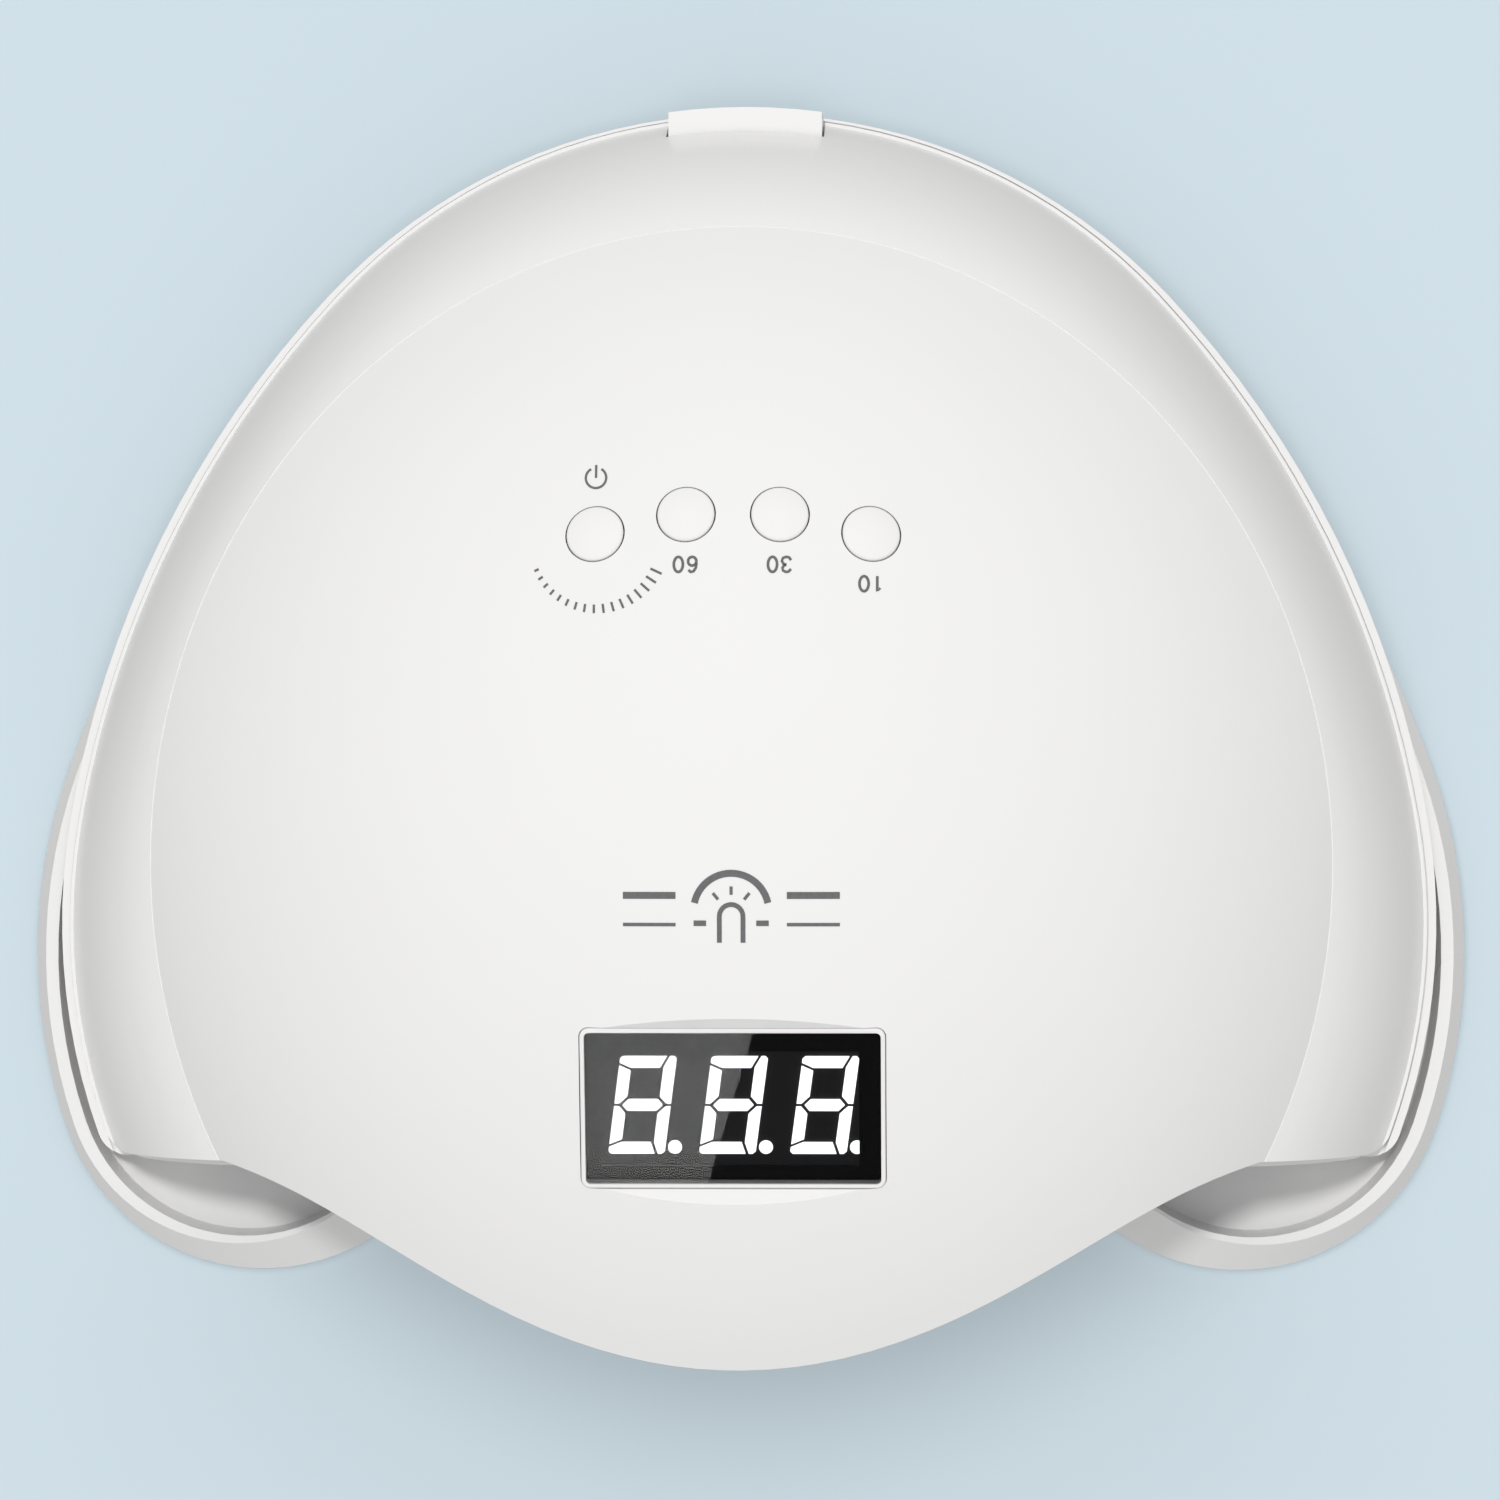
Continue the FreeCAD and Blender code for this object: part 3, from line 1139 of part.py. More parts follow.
def tray():
    outer = plate(tray_chain(0.0), FOOT_HEIGHT, TRAY_EDGE_Z)
    wall = Part.makeLoft([chain_wire(tray_chain(0.0), TRAY_EDGE_Z),
                          chain_wire(tray_chain(-TRAY_DRAFT, TRAY_LOBE_DRAFT), TRAY_RIDGE_Z)], True, True)
    pocket = Part.makeLoft([chain_wire(pocket_chain(0.0), TRAY_TOP),
                            chain_wire(pocket_chain(TRAY_INNER_DRAFT), TRAY_RIDGE_Z)], True, True)
    shape = outer.fuse(wall).cut(pocket).removeSplitter()
    for p in magnet_spots():
        collar_top = TRAY_TOP + PAD_COLLAR_TALL
        shape = shape.fuse(cylinder(MAGNET_RADIUS + MAGNET_COLLAR, FOOT_HEIGHT, collar_top, p.x, p.y))
        shape = shape.cut(cylinder(MAGNET_RADIUS, HOUSING_LIP_Z - PAD_THICK, HOUSING_LIP_Z, p.x, p.y))
    for p in foot_spots():
        shape = shape.cut(foot(p))
    return shape


def foot(p):
    return cylinder(FOOT_RADIUS, 0, FOOT_HEIGHT + FOOT_SUNK, p.x, p.y)


def foot_spots():
    return [rim_at(bearing, FOOT_INSET) for bearing in FOOT_BEARINGS]


def mirror_sheet():
    hollow = pocket_chain(0.0)[-1]
    front = hollow[1] + hollow[2] + MIRROR_FRONT_MARGIN
    half_front = chamber_section(CHAMBER_FRONT_Y, 0.0)[0].x - MIRROR_MARGIN
    half_rear = chamber_section(CHAMBER_REAR_Y, 0.0)[0].x - MIRROR_MARGIN
    rear = CHAMBER_REAR_Y - MIRROR_MARGIN
    outline = [V(-half_front, front, TRAY_TOP), V(half_front, front, TRAY_TOP),
               V(half_rear, rear, TRAY_TOP), V(-half_rear, rear, TRAY_TOP)]
    return Part.Face(Part.makePolygon(outline + outline[:1])).extrude(V(0, 0, MIRROR_THICK))


# ---------------------------------------------------------------- build

os.makedirs("parts", exist_ok=True)
facets = [Facet(*facet) for facet in chamber_facets()]

save("base_tray", [tray()])
save("tray_mirror", [mirror_sheet()])
save("tray_steel_pads", [cylinder(MAGNET_RADIUS, HOUSING_LIP_Z - PAD_THICK, HOUSING_LIP_Z, p.x, p.y)
                         for p in magnet_spots()])
save("rubber_feet", [foot(p) for p in foot_spots()])

save("top_shell", [top_shell()])
save("lower_housing", [lower_housing()])
save("housing_magnets", [cylinder(MAGNET_RADIUS, HOUSING_LIP_Z, HOUSING_LIP_Z + MAGNET_THICK, p.x, p.y)
                         for p in magnet_spots()])
save("shell_screws", shell_screws())

save("reflector", [reflector(facets)])
for facet in facets:
    save("led_board_" + facet.name, [facet.board()])
save("led_emitters", [shape for facet in facets for shape in facet.emitters()])
save("led_lenses", [shape for facet in facets for shape in facet.lenses()])
save("led_board_screws", [shape for facet in facets for shape in facet.screws()])
for name, matrix, x in sensor_spots():
    save("hand_sensor_" + name, [sensor(matrix, x)])

save("display_bezel", [bezel()])
save("display_window", [window()])
save("display_module", [placed(module_block(module_top() - MODULE_DEEP, module_top()), display_frame())])
save("display_segments", segments())

save("control_board", [control_board()])
save("control_switches", switches())
save("control_board_screws", control_screws())
for name, x, y in BUTTONS:
    cap, plunger = button_parts(x, y)
    save("button_" + name, [cap])
    save("plunger_" + name, [plunger])

save("driver_board", [driver_board()])
save("driver_components", driver_components())
save("driver_standoffs", standoffs(facets[0]))
save("driver_screws", driver_screws())

jack_body, jack_pin = jack()
save("dc_jack_body", [jack_body])
save("dc_jack_pin", [jack_pin])
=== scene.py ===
import json
import math

import bmesh
import bpy
from mathutils import Matrix, Vector
from mathutils.bvhtree import BVHTree


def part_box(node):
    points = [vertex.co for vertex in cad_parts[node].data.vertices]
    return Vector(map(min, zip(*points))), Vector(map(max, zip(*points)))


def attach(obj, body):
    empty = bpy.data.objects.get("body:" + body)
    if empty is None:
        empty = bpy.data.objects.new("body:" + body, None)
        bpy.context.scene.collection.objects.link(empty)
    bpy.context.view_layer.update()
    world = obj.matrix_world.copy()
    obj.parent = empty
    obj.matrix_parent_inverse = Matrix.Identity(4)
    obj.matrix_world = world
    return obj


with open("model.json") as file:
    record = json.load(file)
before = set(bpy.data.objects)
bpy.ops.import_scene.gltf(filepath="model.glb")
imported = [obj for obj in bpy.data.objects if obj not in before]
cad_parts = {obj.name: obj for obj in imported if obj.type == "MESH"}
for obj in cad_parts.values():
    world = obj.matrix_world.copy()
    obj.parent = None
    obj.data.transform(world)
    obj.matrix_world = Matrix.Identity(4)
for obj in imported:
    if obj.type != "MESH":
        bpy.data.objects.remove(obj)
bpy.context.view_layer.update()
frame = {"nodes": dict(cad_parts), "record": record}

MM = 0.001

# ---------------------------------------------------------------- camera

CAMERA_HEIGHT = 1.3              # metres above the table
CAMERA_LEAN = 0.029              # the view leans this much to the right, per metre of height
CAMERA_Y = -0.0031
LENS_MM = 201.6


def make_camera():
    """Camera almost straight above the lamp, with the rear of the lamp at the top of the picture."""
    data = bpy.data.cameras.new("camera")
    data.lens = LENS_MM
    data.sensor_width = 36.0
    data.clip_end = 20.0
    camera = bpy.data.objects.new("camera", data)
    camera.location = (CAMERA_LEAN * CAMERA_HEIGHT, CAMERA_Y, CAMERA_HEIGHT)
    camera.rotation_euler = (0.0, math.atan(CAMERA_LEAN), 0.0)
    bpy.context.scene.collection.objects.link(camera)
    bpy.context.scene.camera = camera


# ---------------------------------------------------------------- node materials

class Nodes:
    """A material under construction: its node tree and its Principled shader."""

    def __init__(self, name):
        self.material = bpy.data.materials.new(name)
        self.material.use_nodes = True
        self.tree = self.material.node_tree
        self.shader = self.tree.nodes["Principled BSDF"]
        self.place = self.add("ShaderNodeNewGeometry").outputs["Position"]

    def add(self, kind, **values):
        node = self.tree.nodes.new(kind)
        for key, value in values.items():
            setattr(node, key, value)
        return node

    def link(self, source, target):
        self.tree.links.new(source, target)

    def noise(self, scale, detail=3.0, roughness=0.5):
        node = self.add("ShaderNodeTexNoise")
        self.link(self.place, node.inputs["Vector"])
        node.inputs["Scale"].default_value = scale
        node.inputs["Detail"].default_value = detail
        node.inputs["Roughness"].default_value = roughness
        return node.outputs["Fac"]

    def spread(self, source, low, high, start=0.3, end=0.7):
        """Map a 0 to 1 pattern onto a range of values."""
        node = self.add("ShaderNodeMapRange")
        self.link(source, node.inputs["Value"])
        node.inputs["From Min"].default_value = start
        node.inputs["From Max"].default_value = end
        node.inputs["To Min"].default_value = low
        node.inputs["To Max"].default_value = high
        return node.outputs["Result"]

    def mix(self, factor, first, second):
        node = self.add("ShaderNodeMix", data_type="RGBA")
        self.link(factor, node.inputs["Factor"])
        node.inputs["A"].default_value = (*first, 1.0)
        node.inputs["B"].default_value = (*second, 1.0)
        return node.outputs["Result"]

    def bump(self, height, strength, distance):
        node = self.add("ShaderNodeBump")
        self.link(height, node.inputs["Height"])
        node.inputs["Strength"].default_value = strength
        node.inputs["Distance"].default_value = distance
        self.link(node.outputs["Normal"], self.shader.inputs["Normal"])
        return node

    def set(self, **values):
        for key, value in values.items():
            self.shader.inputs[key.replace("_", " ")].default_value = value


def moulded(name, color, shade, gloss):
    """Moulded plastic: faint cloudiness in colour and in gloss."""
    m = Nodes(name)
    cloud = m.noise(26.0, 2.0)
    m.link(m.mix(m.spread(cloud, 0.0, 1.0, 0.2, 0.8), color, shade), m.shader.inputs["Base Color"])
    haze = m.spread(m.noise(34.0, 2.0), gloss - 0.015, gloss + 0.015, 0.2, 0.8)
    m.link(haze, m.shader.inputs["Roughness"])
    m.set(IOR=1.46)
    return m.material


def textured(name, color, shade, rough, grain, depth, sheen=0.5):
    """Matt plastic, rubber or laminate with a fine raised grain."""
    m = Nodes(name)
    m.set(Specular_IOR_Level=sheen)
    spots = m.noise(grain, 4.0, 0.6)
    m.link(m.mix(m.spread(spots, 0.0, 1.0), color, shade), m.shader.inputs["Base Color"])
    m.link(m.spread(m.noise(60.0, 2.0), rough - 0.06, rough + 0.06), m.shader.inputs["Roughness"])
    m.bump(spots, 0.35, depth)
    return m.material


def plated(name, color, shade, rough):
    """Vacuum-plated or nickel-plated surface with faint ripples and dull patches."""
    m = Nodes(name)
    m.link(m.mix(m.spread(m.noise(40.0), 0.0, 1.0), color, shade), m.shader.inputs["Base Color"])
    m.link(m.spread(m.noise(90.0, 5.0), rough, rough + 0.10), m.shader.inputs["Roughness"])
    m.bump(m.noise(160.0, 2.0), 0.10, 0.00006)
    m.set(Metallic=1.0)
    return m.material


def brushed(name, color, shade, rough, stretch=(40.0, 900.0, 900.0)):
    """Machined metal with fine parallel marks."""
    m = Nodes(name)
    scale = m.add("ShaderNodeMapping")
    scale.inputs["Scale"].default_value = stretch
    m.link(m.place, scale.inputs["Vector"])
    node = m.add("ShaderNodeTexNoise")
    m.link(scale.outputs["Vector"], node.inputs["Vector"])
    node.inputs["Scale"].default_value = 1.0
    marks = node.outputs["Fac"]
    m.link(m.mix(m.spread(marks, 0.0, 1.0), color, shade), m.shader.inputs["Base Color"])
    m.link(m.spread(marks, rough - 0.08, rough + 0.10), m.shader.inputs["Roughness"])
    m.bump(marks, 0.25, 0.00003)
    m.set(Metallic=1.0)
    return m.material


def clear(name, color, alpha, rough, ior=1.45):
    """Clear or tinted pane whose depth is seen through it, with faint smears in its gloss."""
    m = Nodes(name)
    m.link(m.mix(m.spread(m.noise(14.0, 3.0), 0.0, 1.0), color, tuple(0.8 * c for c in color)),
           m.shader.inputs["Base Color"])
    m.link(m.spread(m.noise(50.0, 4.0), rough, 1.5 * rough), m.shader.inputs["Roughness"])
    m.set(Alpha=alpha, IOR=ior)
    return m.material


def glowing(name, color, strength):
    """Diffusing segment lit from behind, a little dimmer towards its patches of thicker resin."""
    m = Nodes(name)
    m.link(m.mix(m.spread(m.noise(700.0, 2.0), 0.0, 1.0), color, tuple(0.93 * c for c in color)),
           m.shader.inputs["Base Color"])
    m.set(Roughness=0.4, Emission_Color=(*color, 1.0), Emission_Strength=strength)
    return m.material


def circuit(name, mask, copper):
    """Solder mask over tracks: fine straight lines run under a coloured lacquer."""
    m = Nodes(name)
    tracks = m.add("ShaderNodeTexBrick")
    m.link(m.place, tracks.inputs["Vector"])
    tracks.inputs["Scale"].default_value = 260.0
    tracks.inputs["Mortar Size"].default_value = 0.04
    tracks.inputs["Color1"].default_value = (*mask, 1.0)
    tracks.inputs["Color2"].default_value = (*tuple(1.15 * c for c in mask), 1.0)
    tracks.inputs["Mortar"].default_value = (*copper, 1.0)
    m.link(tracks.outputs["Color"], m.shader.inputs["Base Color"])
    m.link(m.spread(m.noise(80.0), 0.28, 0.42), m.shader.inputs["Roughness"])
    m.bump(tracks.outputs["Fac"], 0.2, 0.00004)
    return m.material


WHITE = (0.870, 0.865, 0.860)
WHITE_SHADE = (0.862, 0.857, 0.852)


def make_materials():
    return {
        "shell_white": moulded("shell_white", WHITE, WHITE_SHADE, 0.26),
        "housing_white": moulded("housing_white", WHITE, WHITE_SHADE, 0.32),
        "tray_white": moulded("tray_white", (0.850, 0.845, 0.840), (0.836, 0.831, 0.826), 0.28),
        "button_white": moulded("button_white", (0.875, 0.866, 0.858), WHITE, 0.3),
        "bezel_white": moulded("bezel_white", (0.875, 0.866, 0.858), WHITE, 0.22),
        "tray_mirror": plated("tray_mirror", (0.85, 0.86, 0.88), (0.80, 0.81, 0.83), 0.06),
        "reflector_chrome": plated("reflector_chrome", (0.80, 0.81, 0.84), (0.74, 0.75, 0.78), 0.14),
        "board_white": textured("board_white", (0.80, 0.81, 0.79), (0.74, 0.75, 0.73), 0.45, 700.0,
                                0.00003),
        "led_phosphor": textured("led_phosphor", (0.82, 0.70, 0.34), (0.74, 0.62, 0.30), 0.5, 1800.0,
                                 0.00003),
        "lens_clear": clear("lens_clear", (0.90, 0.92, 0.97), 0.30, 0.06),
        "sensor_dark": moulded("sensor_dark", (0.03, 0.012, 0.035), (0.02, 0.01, 0.025), 0.12),
        "window_black": clear("window_black", (0.003, 0.003, 0.0035), 0.36, 0.004, 1.25),
        "module_black": textured("module_black", (0.034, 0.034, 0.036), (0.028, 0.028, 0.03), 0.5, 900.0,
                                 0.00003, 0.2),
        "segment_white": glowing("segment_white", (0.97, 0.985, 1.0), 3.6),
        "board_green": circuit("board_green", (0.02, 0.14, 0.06), (0.05, 0.24, 0.10)),
        "part_black": textured("part_black", (0.03, 0.03, 0.032), (0.02, 0.02, 0.02), 0.5, 900.0, 0.00004),
        "plunger_black": textured("plunger_black", (0.04, 0.04, 0.04), (0.03, 0.03, 0.03), 0.4, 1500.0,
                                  0.00002),
        "screw_steel": brushed("screw_steel", (0.60, 0.60, 0.61), (0.50, 0.50, 0.51), 0.34),
        "magnet_nickel": plated("magnet_nickel", (0.70, 0.68, 0.65), (0.62, 0.60, 0.57), 0.18),
        "pad_steel": brushed("pad_steel", (0.56, 0.56, 0.57), (0.46, 0.46, 0.47), 0.38),
        "foot_rubber": textured("foot_rubber", (0.045, 0.045, 0.047), (0.03, 0.03, 0.03), 0.8, 1400.0,
                                0.00008),
        "jack_black": textured("jack_black", (0.02, 0.02, 0.021), (0.014, 0.014, 0.014), 0.34, 1100.0,
                               0.00003),
        "pin_brass": brushed("pin_brass", (0.75, 0.66, 0.45), (0.66, 0.57, 0.38), 0.3),
        "standoff_white": textured("standoff_white", (0.78, 0.78, 0.75), (0.72, 0.72, 0.69), 0.5, 700.0,
                                   0.00003),
    }


EDGE_ROUND = {"top_shell": 0.28, "lower_housing": 0.14, "base_tray": 0.55, "display_bezel": 0.12}


def soften(obj, width_mm):
    """Small moulded radius on a node's sharp edges."""
    bevel = obj.modifiers.new("edge_round", "BEVEL")
    bevel.width = width_mm * MM
    bevel.segments = 3
    bevel.limit_method = "ANGLE"
    bevel.angle_limit = math.radians(34.0)
    bevel.harden_normals = False
    bevel.use_clamp_overlap = True


def dress_frame(materials):
    """Give every carried-over CAD node the material of its slot."""
    slots = {part["node"]: part["material_slot"] for part in frame["record"]["subparts"]}
    for node, obj in frame["nodes"].items():
        material = materials[slots[node]]
        if not obj.material_slots:
            obj.data.materials.append(material)
        for slot in obj.material_slots:
            slot.material = material


# ---------------------------------------------------------------- stage and light

def make_stage():
    bpy.ops.mesh.primitive_plane_add(size=60.0, location=(0.0, 0.0, 0.0))
    floor = bpy.context.object
    floor.name = "floor"
    m = Nodes("floor")
    m.link(m.mix(m.spread(m.noise(3.0), 0.0, 1.0), (0.555, 0.652, 0.706), (0.560, 0.657, 0.711)),
           m.shader.inputs["Base Color"])
    m.set(Roughness=0.95, Specular_IOR_Level=0.1)
    floor.data.materials.append(m.material)
    floor.visible_diffuse = False
    floor.visible_glossy = False


def sun_light(name, tilt, turn, angle, strength):
    """Distant soft light tilted off the vertical towards a bearing; angle is its apparent size."""
    data = bpy.data.lights.new(name, "SUN")
    data.energy = strength
    data.angle = math.radians(angle)
    lamp = bpy.data.objects.new(name, data)
    lamp.rotation_euler = (0.0, math.radians(tilt), math.radians(turn))
    lamp.visible_glossy = False
    bpy.context.scene.collection.objects.link(lamp)
    return lamp


def make_light():
    world = bpy.data.worlds.new("studio")
    world.use_nodes = True
    world.node_tree.nodes["Background"].inputs["Color"].default_value = (1.0, 1.0, 1.0, 1.0)
    world.node_tree.nodes["Background"].inputs["Strength"].default_value = 0.54
    bpy.context.scene.world = world
    floor = bpy.data.objects["floor"]
    key = sun_light("key", 12.0, 98.0, 5.0, 1.35)
    sun_light("overhead", 0.0, 0.0, 50.0, 0.10)
    sun_light("rear_wash", 58.0, 90.0, 60.0, 0.20)
    sun_light("front_wash", 40.0, -90.0, 50.0, 0.16)
    but_floor = bpy.data.collections.new("all_but_floor")
    but_floor.objects.link(floor)
    but_floor.collection_objects[0].light_linking.link_state = "EXCLUDE"
    key.light_linking.receiver_collection = but_floor
    table = sun_light("table_light", 4.0, 90.0, 40.0, 1.58)
    floor_only = bpy.data.collections.new("floor_only")
    floor_only.objects.link(floor)
    table.light_linking.receiver_collection = floor_only


def display_place():
    """Origin, across, up-slope and outward directions of the display's pane."""
    window = frame["nodes"]["display_window"]
    face = max(window.data.polygons, key=lambda p: (window.matrix_world.to_3x3() @ p.normal).z * p.area)
    normal = (window.matrix_world.to_3x3() @ face.normal).normalized()
    low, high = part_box("display_window")
    middle = 0.5 * (Vector(low) + Vector(high))
    across = Vector((1.0, 0.0, 0.0))
    return middle, across, normal.cross(across).normalized(), normal


CARD_SIZE = 90.0                 # millimetres at the window
CARD_EDGE = 0.45                 # its edge left of the window's middle
CARD_SLANT = 17.7                # degrees off the window's up-slope direction
CARD_REACH = 1.5                 # of the way from the mirrored camera to the window
CARD_GLOW = 14.0


def make_reflection_card():
    """Bright panel that only the tilted window mirrors, its edge crossing the window at a slant."""
    middle, across, upward, normal = display_place()
    camera = bpy.context.scene.camera.location
    mirrored = camera - 2.0 * (camera - middle).dot(normal) * normal
    slant = math.radians(CARD_SLANT)
    side = (across * math.cos(slant) - upward * math.sin(slant)).normalized()
    spot = middle - across * (CARD_EDGE * MM) - side * (0.5 * CARD_SIZE * MM)
    data = bpy.data.lights.new("reflection_card", "AREA")
    data.shape = "SQUARE"
    data.size = CARD_REACH * CARD_SIZE * MM
    data.energy = CARD_GLOW * math.pi * data.size ** 2
    card = bpy.data.objects.new("reflection_card", data)
    place = mirrored + (spot - mirrored) * CARD_REACH
    facing = (place - mirrored).normalized()
    level = (side - facing * side.dot(facing)).normalized()
    turn = Matrix((level, facing.cross(level), facing)).transposed().to_4x4()
    card.matrix_world = Matrix.Translation(place) @ turn
    window_only = bpy.data.collections.new("window_only")
    window_only.objects.link(frame["nodes"]["display_window"])
    card.light_linking.receiver_collection = window_only
    card.visible_camera = False
    bpy.context.scene.collection.objects.link(card)


MASK_GAP = 0.00003                # below the window's underside, metres


def make_window_mask(material):
    """Black border printed on the underside of the window round the opening for the digits."""
    window = frame["nodes"]["display_window"]
    module = frame["nodes"]["display_module"]
    middle, across, upward, normal = display_place()

    def reach(obj):
        spots = [obj.matrix_world @ v.co - middle for v in obj.data.vertices]
        flat = [(spot.dot(across), spot.dot(upward)) for spot in spots]
        depth = [spot.dot(normal) for spot in spots]
        return (min(x for x, _ in flat), max(x for x, _ in flat), min(y for _, y in flat),
                max(y for _, y in flat), min(depth))

    outer = reach(window)
    inner = reach(module)
    low = outer[4] - MASK_GAP
    mesh = bmesh.new()
    rings = []
    for x0, x1, y0, y1 in (outer[:4], inner[:4]):
        rings.append([mesh.verts.new(middle + across * x + upward * y + normal * low)
                      for x, y in ((x0, y0), (x1, y0), (x1, y1), (x0, y1))])
    for i in range(4):
        j = (i + 1) % 4
        mesh.faces.new((rings[0][i], rings[0][j], rings[1][j], rings[1][i]))
    data = bpy.data.meshes.new("window_mask")
    mesh.to_mesh(data)
    mesh.free()
    data.materials.append(material)
    piece = bpy.data.objects.new("window_mask", data)
    bpy.context.scene.collection.objects.link(piece)
    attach(piece, "head")


# ---------------------------------------------------------------- printed marks on the dome

DOME = {}


def load_dome():
    """Upper surface of the cover as a ray-castable mesh, for the printed marks."""
    shell = frame["nodes"]["top_shell"]
    points = [shell.matrix_world @ v.co for v in shell.data.vertices]
    polygons = [tuple(p.vertices) for p in shell.data.polygons]
    DOME["tree"] = BVHTree.FromPolygons(points, polygons)


INK_LIFT = 0.00006               # ink above the plastic, metres


def on_dome(x, y):
    """Point just above the dome at a plan position in metres."""
    hit, normal, _, _ = DOME["tree"].ray_cast(Vector((x, y, 0.2)), Vector((0.0, 0.0, -1.0)))
    if normal.z < 0.0:
        normal = -normal
    return hit + normal * INK_LIFT


def stroke(mesh, points, width):
    """Flat ribbon of ink laid on the dome along a list of plan points in millimetres."""
    left, right = [], []
    for i, (x, y) in enumerate(points):
        x0, y0 = points[max(i - 1, 0)]
        x1, y1 = points[min(i + 1, len(points) - 1)]
        run = Vector((x1 - x0, y1 - y0)).normalized()
        side = Vector((-run.y, run.x)) * 0.5 * width
        left.append(mesh.verts.new(on_dome((x + side.x) * MM, (y + side.y) * MM)))
        right.append(mesh.verts.new(on_dome((x - side.x) * MM, (y - side.y) * MM)))
    for i in range(len(points) - 1):
        mesh.faces.new((right[i], right[i + 1], left[i + 1], left[i]))


def arc_points(cx, cy, radius, start, end, steps=24):
    angles = [math.radians(start + (end - start) * i / steps) for i in range(steps + 1)]
    return [(cx + radius * math.cos(a), cy + radius * math.sin(a)) for a in angles]


def line_points(x0, y0, x1, y1, steps=6):
    return [(x0 + (x1 - x0) * i / steps, y0 + (y1 - y0) * i / steps) for i in range(steps + 1)]


def ink_piece(name, strokes, material):
    """One printed mark: ribbons of ink that ride with the head."""
    mesh = bmesh.new()
    for points, width in strokes:
        stroke(mesh, points, width)
    data = bpy.data.meshes.new(name)
    mesh.to_mesh(data)
    mesh.free()
    data.materials.append(material)
    piece = bpy.data.objects.new(name, data)
    bpy.context.scene.collection.objects.link(piece)
    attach(piece, "head")


def ring(cx, cy, rx, ry, steps=20):
    points = []
    for i in range(steps + 1):
        a = 2.0 * math.pi * i / steps
        points.append((cx + rx * math.cos(a), cy + ry * math.sin(a)))
    return points


def digit_strokes(character, cx, cy, tall, width):
    """Open strokes of a numeral, turned to be read from the rear of the lamp."""
    half = 0.5 * tall
    wide = 0.3 * tall
    shapes = {
        "0": [ring(0.0, 0.0, wide, half, 20)],
        "1": [[(-0.5 * wide, 0.55 * half), (0.15 * wide, half), (0.15 * wide, -half)]],
        "3": [[(-wide, 0.6 * half), (-0.5 * wide, 0.95 * half), (0.1 * wide, half),
               (0.75 * wide, 0.8 * half), (0.85 * wide, 0.45 * half), (0.5 * wide, 0.12 * half),
               (0.0, 0.05 * half)],
              [(0.0, 0.05 * half), (0.6 * wide, -0.05 * half), (wide, -0.45 * half),
               (0.75 * wide, -0.85 * half), (0.05 * wide, -half), (-0.6 * wide, -0.92 * half),
               (-wide, -0.55 * half)]],
        "6": [[(0.8 * wide, 0.72 * half), (0.35 * wide, half), (-0.3 * wide, 0.92 * half),
               (-0.8 * wide, 0.45 * half), (-0.95 * wide, -0.2 * half)],
              ring(0.0, -0.42 * half, 0.92 * wide, 0.58 * half, 16)],
    }
    return [([(cx - x, cy - y) for x, y in points], width) for points in shapes[character]]


# Printed marks, in millimetres on the dome
LABEL_TALL = 2.2
LABEL_LINE = 0.4
LABEL_DROP = 6.0                 # numerals in front of their button
LABEL_HALF_STEP = 1.0            # half the distance between two numerals
POWER_RISE = 9.5                 # switch-on sign behind the power button
POWER_RADIUS = 1.5
POWER_LINE = 0.34
WARMTH_RADIUS = 9.0              # scale of dashes round the front of the power button
WARMTH_DASHES = 17
WARMTH_START, WARMTH_SWEEP = -155.0, 130.0
WARMTH_SHORT, WARMTH_GROWTH = 0.7, 1.1
EMBLEM_Y = -25.6


def bearing(angle):
    return math.cos(math.radians(angle)), math.sin(math.radians(angle))


def radial(cx, cy, angle, start, end):
    """Short straight run of points away from a centre."""
    c, sn = bearing(angle)
    return line_points(cx + start * c, cy + start * sn, cx + end * c, cy + end * sn, 3)


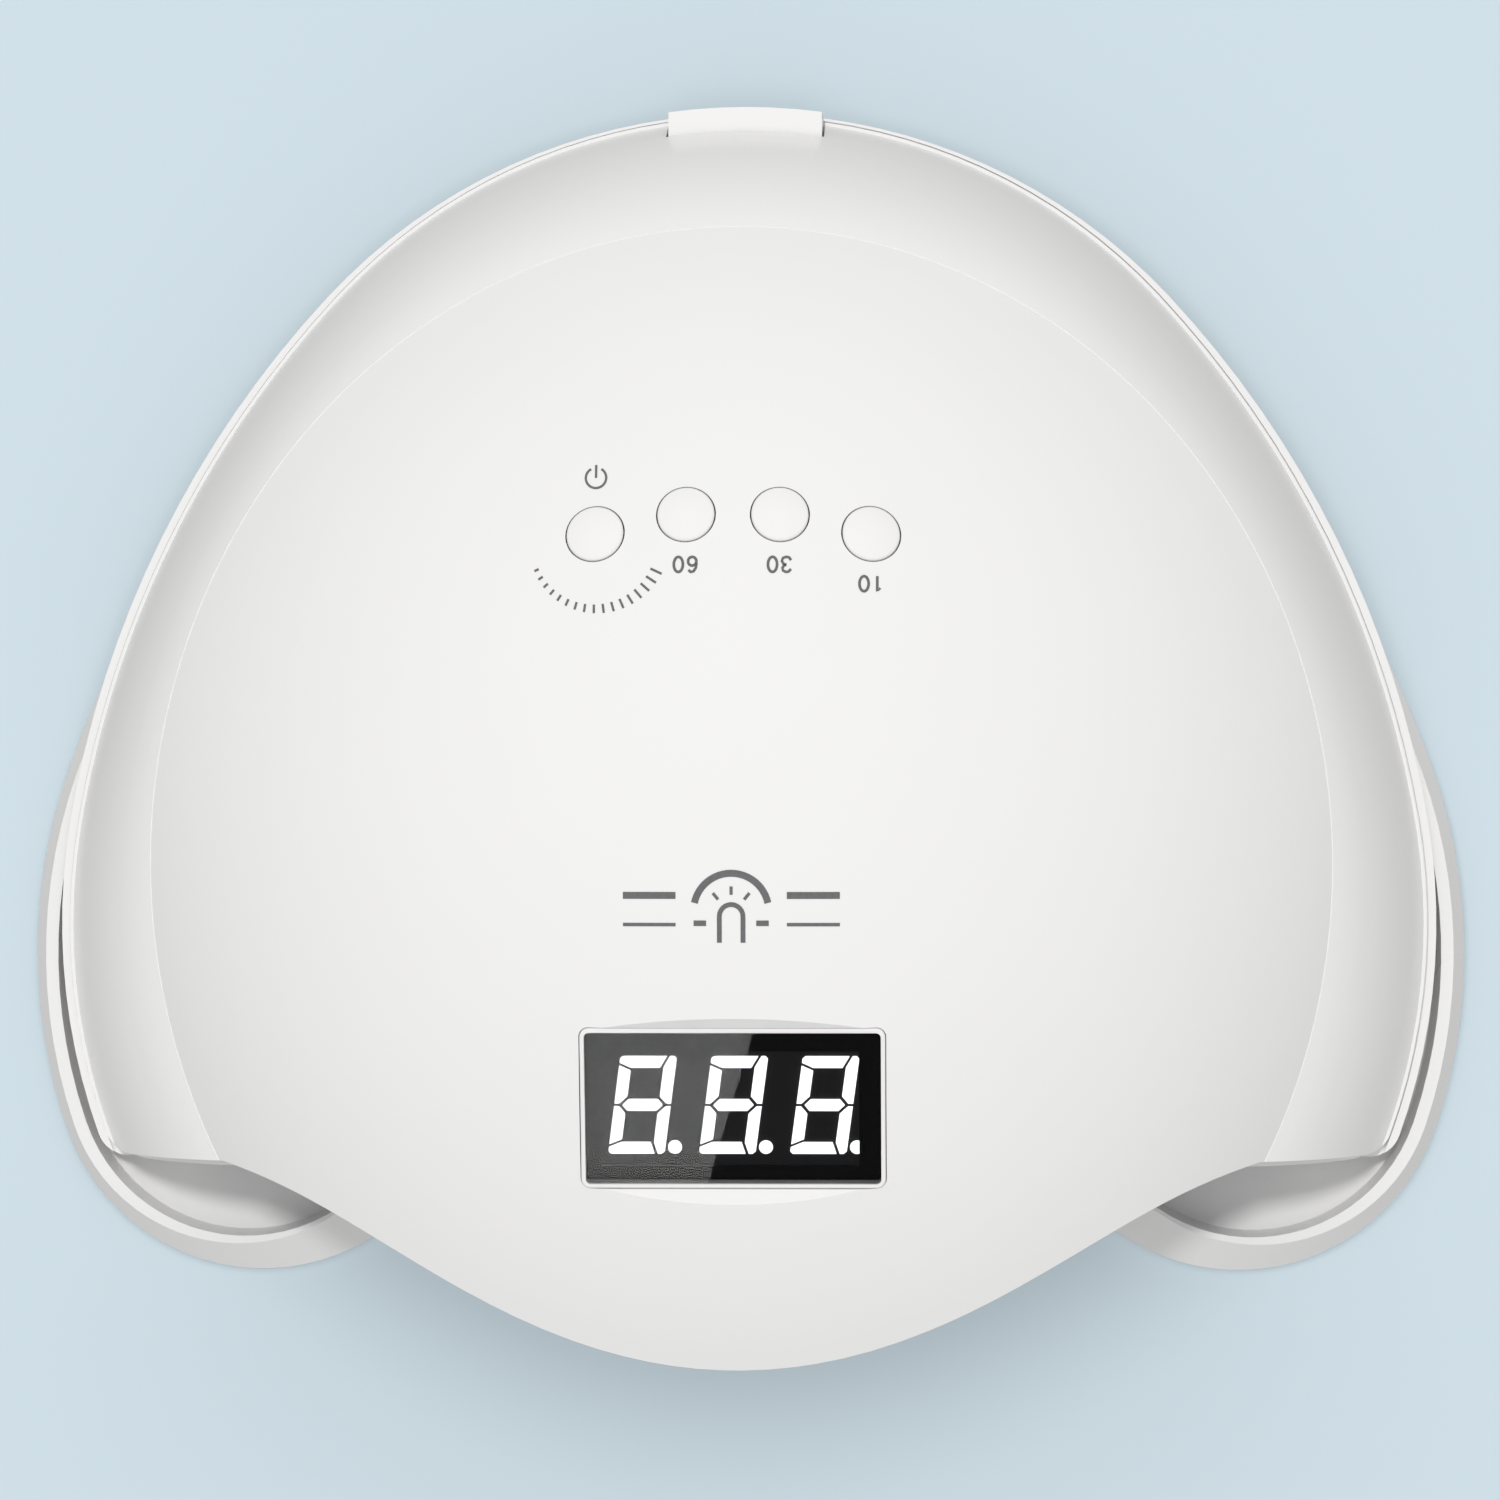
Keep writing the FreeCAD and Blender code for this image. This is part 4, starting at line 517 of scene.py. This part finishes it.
def make_marks(ink):
    """Numerals, switch-on sign and warmth scale round the four buttons."""
    places = {}
    for name in ("power", "60", "30", "10"):
        low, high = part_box("button_" + name)
        places[name] = (0.5 * (low[0] + high[0]) / MM, 0.5 * (low[1] + high[1]) / MM)
    for name in ("60", "30", "10"):
        x, y = places[name]
        y = y - LABEL_DROP
        strokes = digit_strokes(name[0], x + LABEL_HALF_STEP, y, LABEL_TALL, LABEL_LINE)
        strokes += digit_strokes(name[1], x - LABEL_HALF_STEP, y, LABEL_TALL, LABEL_LINE)
        ink_piece("mark_" + name, strokes, ink)
    x, y = places["power"]
    cy = y + POWER_RISE
    strokes = [(arc_points(x, cy, POWER_RADIUS, 120.0, 420.0), POWER_LINE),
               (line_points(x, cy, x, cy + POWER_RADIUS + 0.4), POWER_LINE)]
    ink_piece("mark_power", strokes, ink)
    strokes = []
    for i in range(WARMTH_DASHES):
        share = i / (WARMTH_DASHES - 1)
        end = WARMTH_RADIUS + WARMTH_SHORT + WARMTH_GROWTH * share
        dash = radial(x, y, WARMTH_START + WARMTH_SWEEP * share, WARMTH_RADIUS, end)
        strokes.append((dash, POWER_LINE))
    ink_piece("mark_warmth_scale", strokes, ink)


def make_emblem(ink):
    """Generic mark: a lamp's arch over a fingertip, with short rays, between two pairs of bars."""
    cy = EMBLEM_Y
    strokes = [
        (arc_points(0.0, cy - 0.6, 5.4, 12.0, 168.0), 1.0),
        (line_points(-5.4, cy - 2.4, -3.6, cy - 2.4), 0.8),
        (line_points(5.4, cy - 2.4, 3.6, cy - 2.4), 0.8),
        (arc_points(0.0, cy - 1.4, 1.7, 0.0, 180.0, 12), 0.7),
        (line_points(-1.7, cy - 1.4, -1.7, cy - 5.2), 0.7),
        (line_points(1.7, cy - 1.4, 1.7, cy - 5.2), 0.7),
        (line_points(-15.6, cy + 1.6, -8.0, cy + 1.6), 1.0),
        (line_points(8.0, cy + 1.6, 15.6, cy + 1.6), 1.0),
        (line_points(-15.6, cy - 2.6, -8.0, cy - 2.6), 0.5),
        (line_points(8.0, cy - 2.6, 15.6, cy - 2.6), 0.5),
    ]
    strokes += [(radial(0.0, cy - 1.2, angle, 2.9, 4.1), 0.45) for angle in (50.0, 90.0, 130.0)]
    ink_piece("mark_emblem", strokes, ink)


# ---------------------------------------------------------------- build

scene = bpy.context.scene
scene.view_settings.view_transform = "Standard"
scene.view_settings.look = "None"

make_camera()
materials = make_materials()
dress_frame(materials)
for node in ("top_shell", "lower_housing", "base_tray", "display_bezel"):
    soften(frame["nodes"][node], EDGE_ROUND[node])
load_dome()
grey_ink = textured("grey_ink", (0.16, 0.16, 0.165), (0.13, 0.13, 0.135), 0.45, 1500.0, 0.00002)
make_marks(grey_ink)
make_emblem(grey_ink)
mask_black = textured("mask_black", (0.003, 0.003, 0.003), (0.002, 0.002, 0.002), 0.6, 900.0, 0.00002, 0.0)
make_window_mask(mask_black)
make_stage()
make_light()
make_reflection_card()
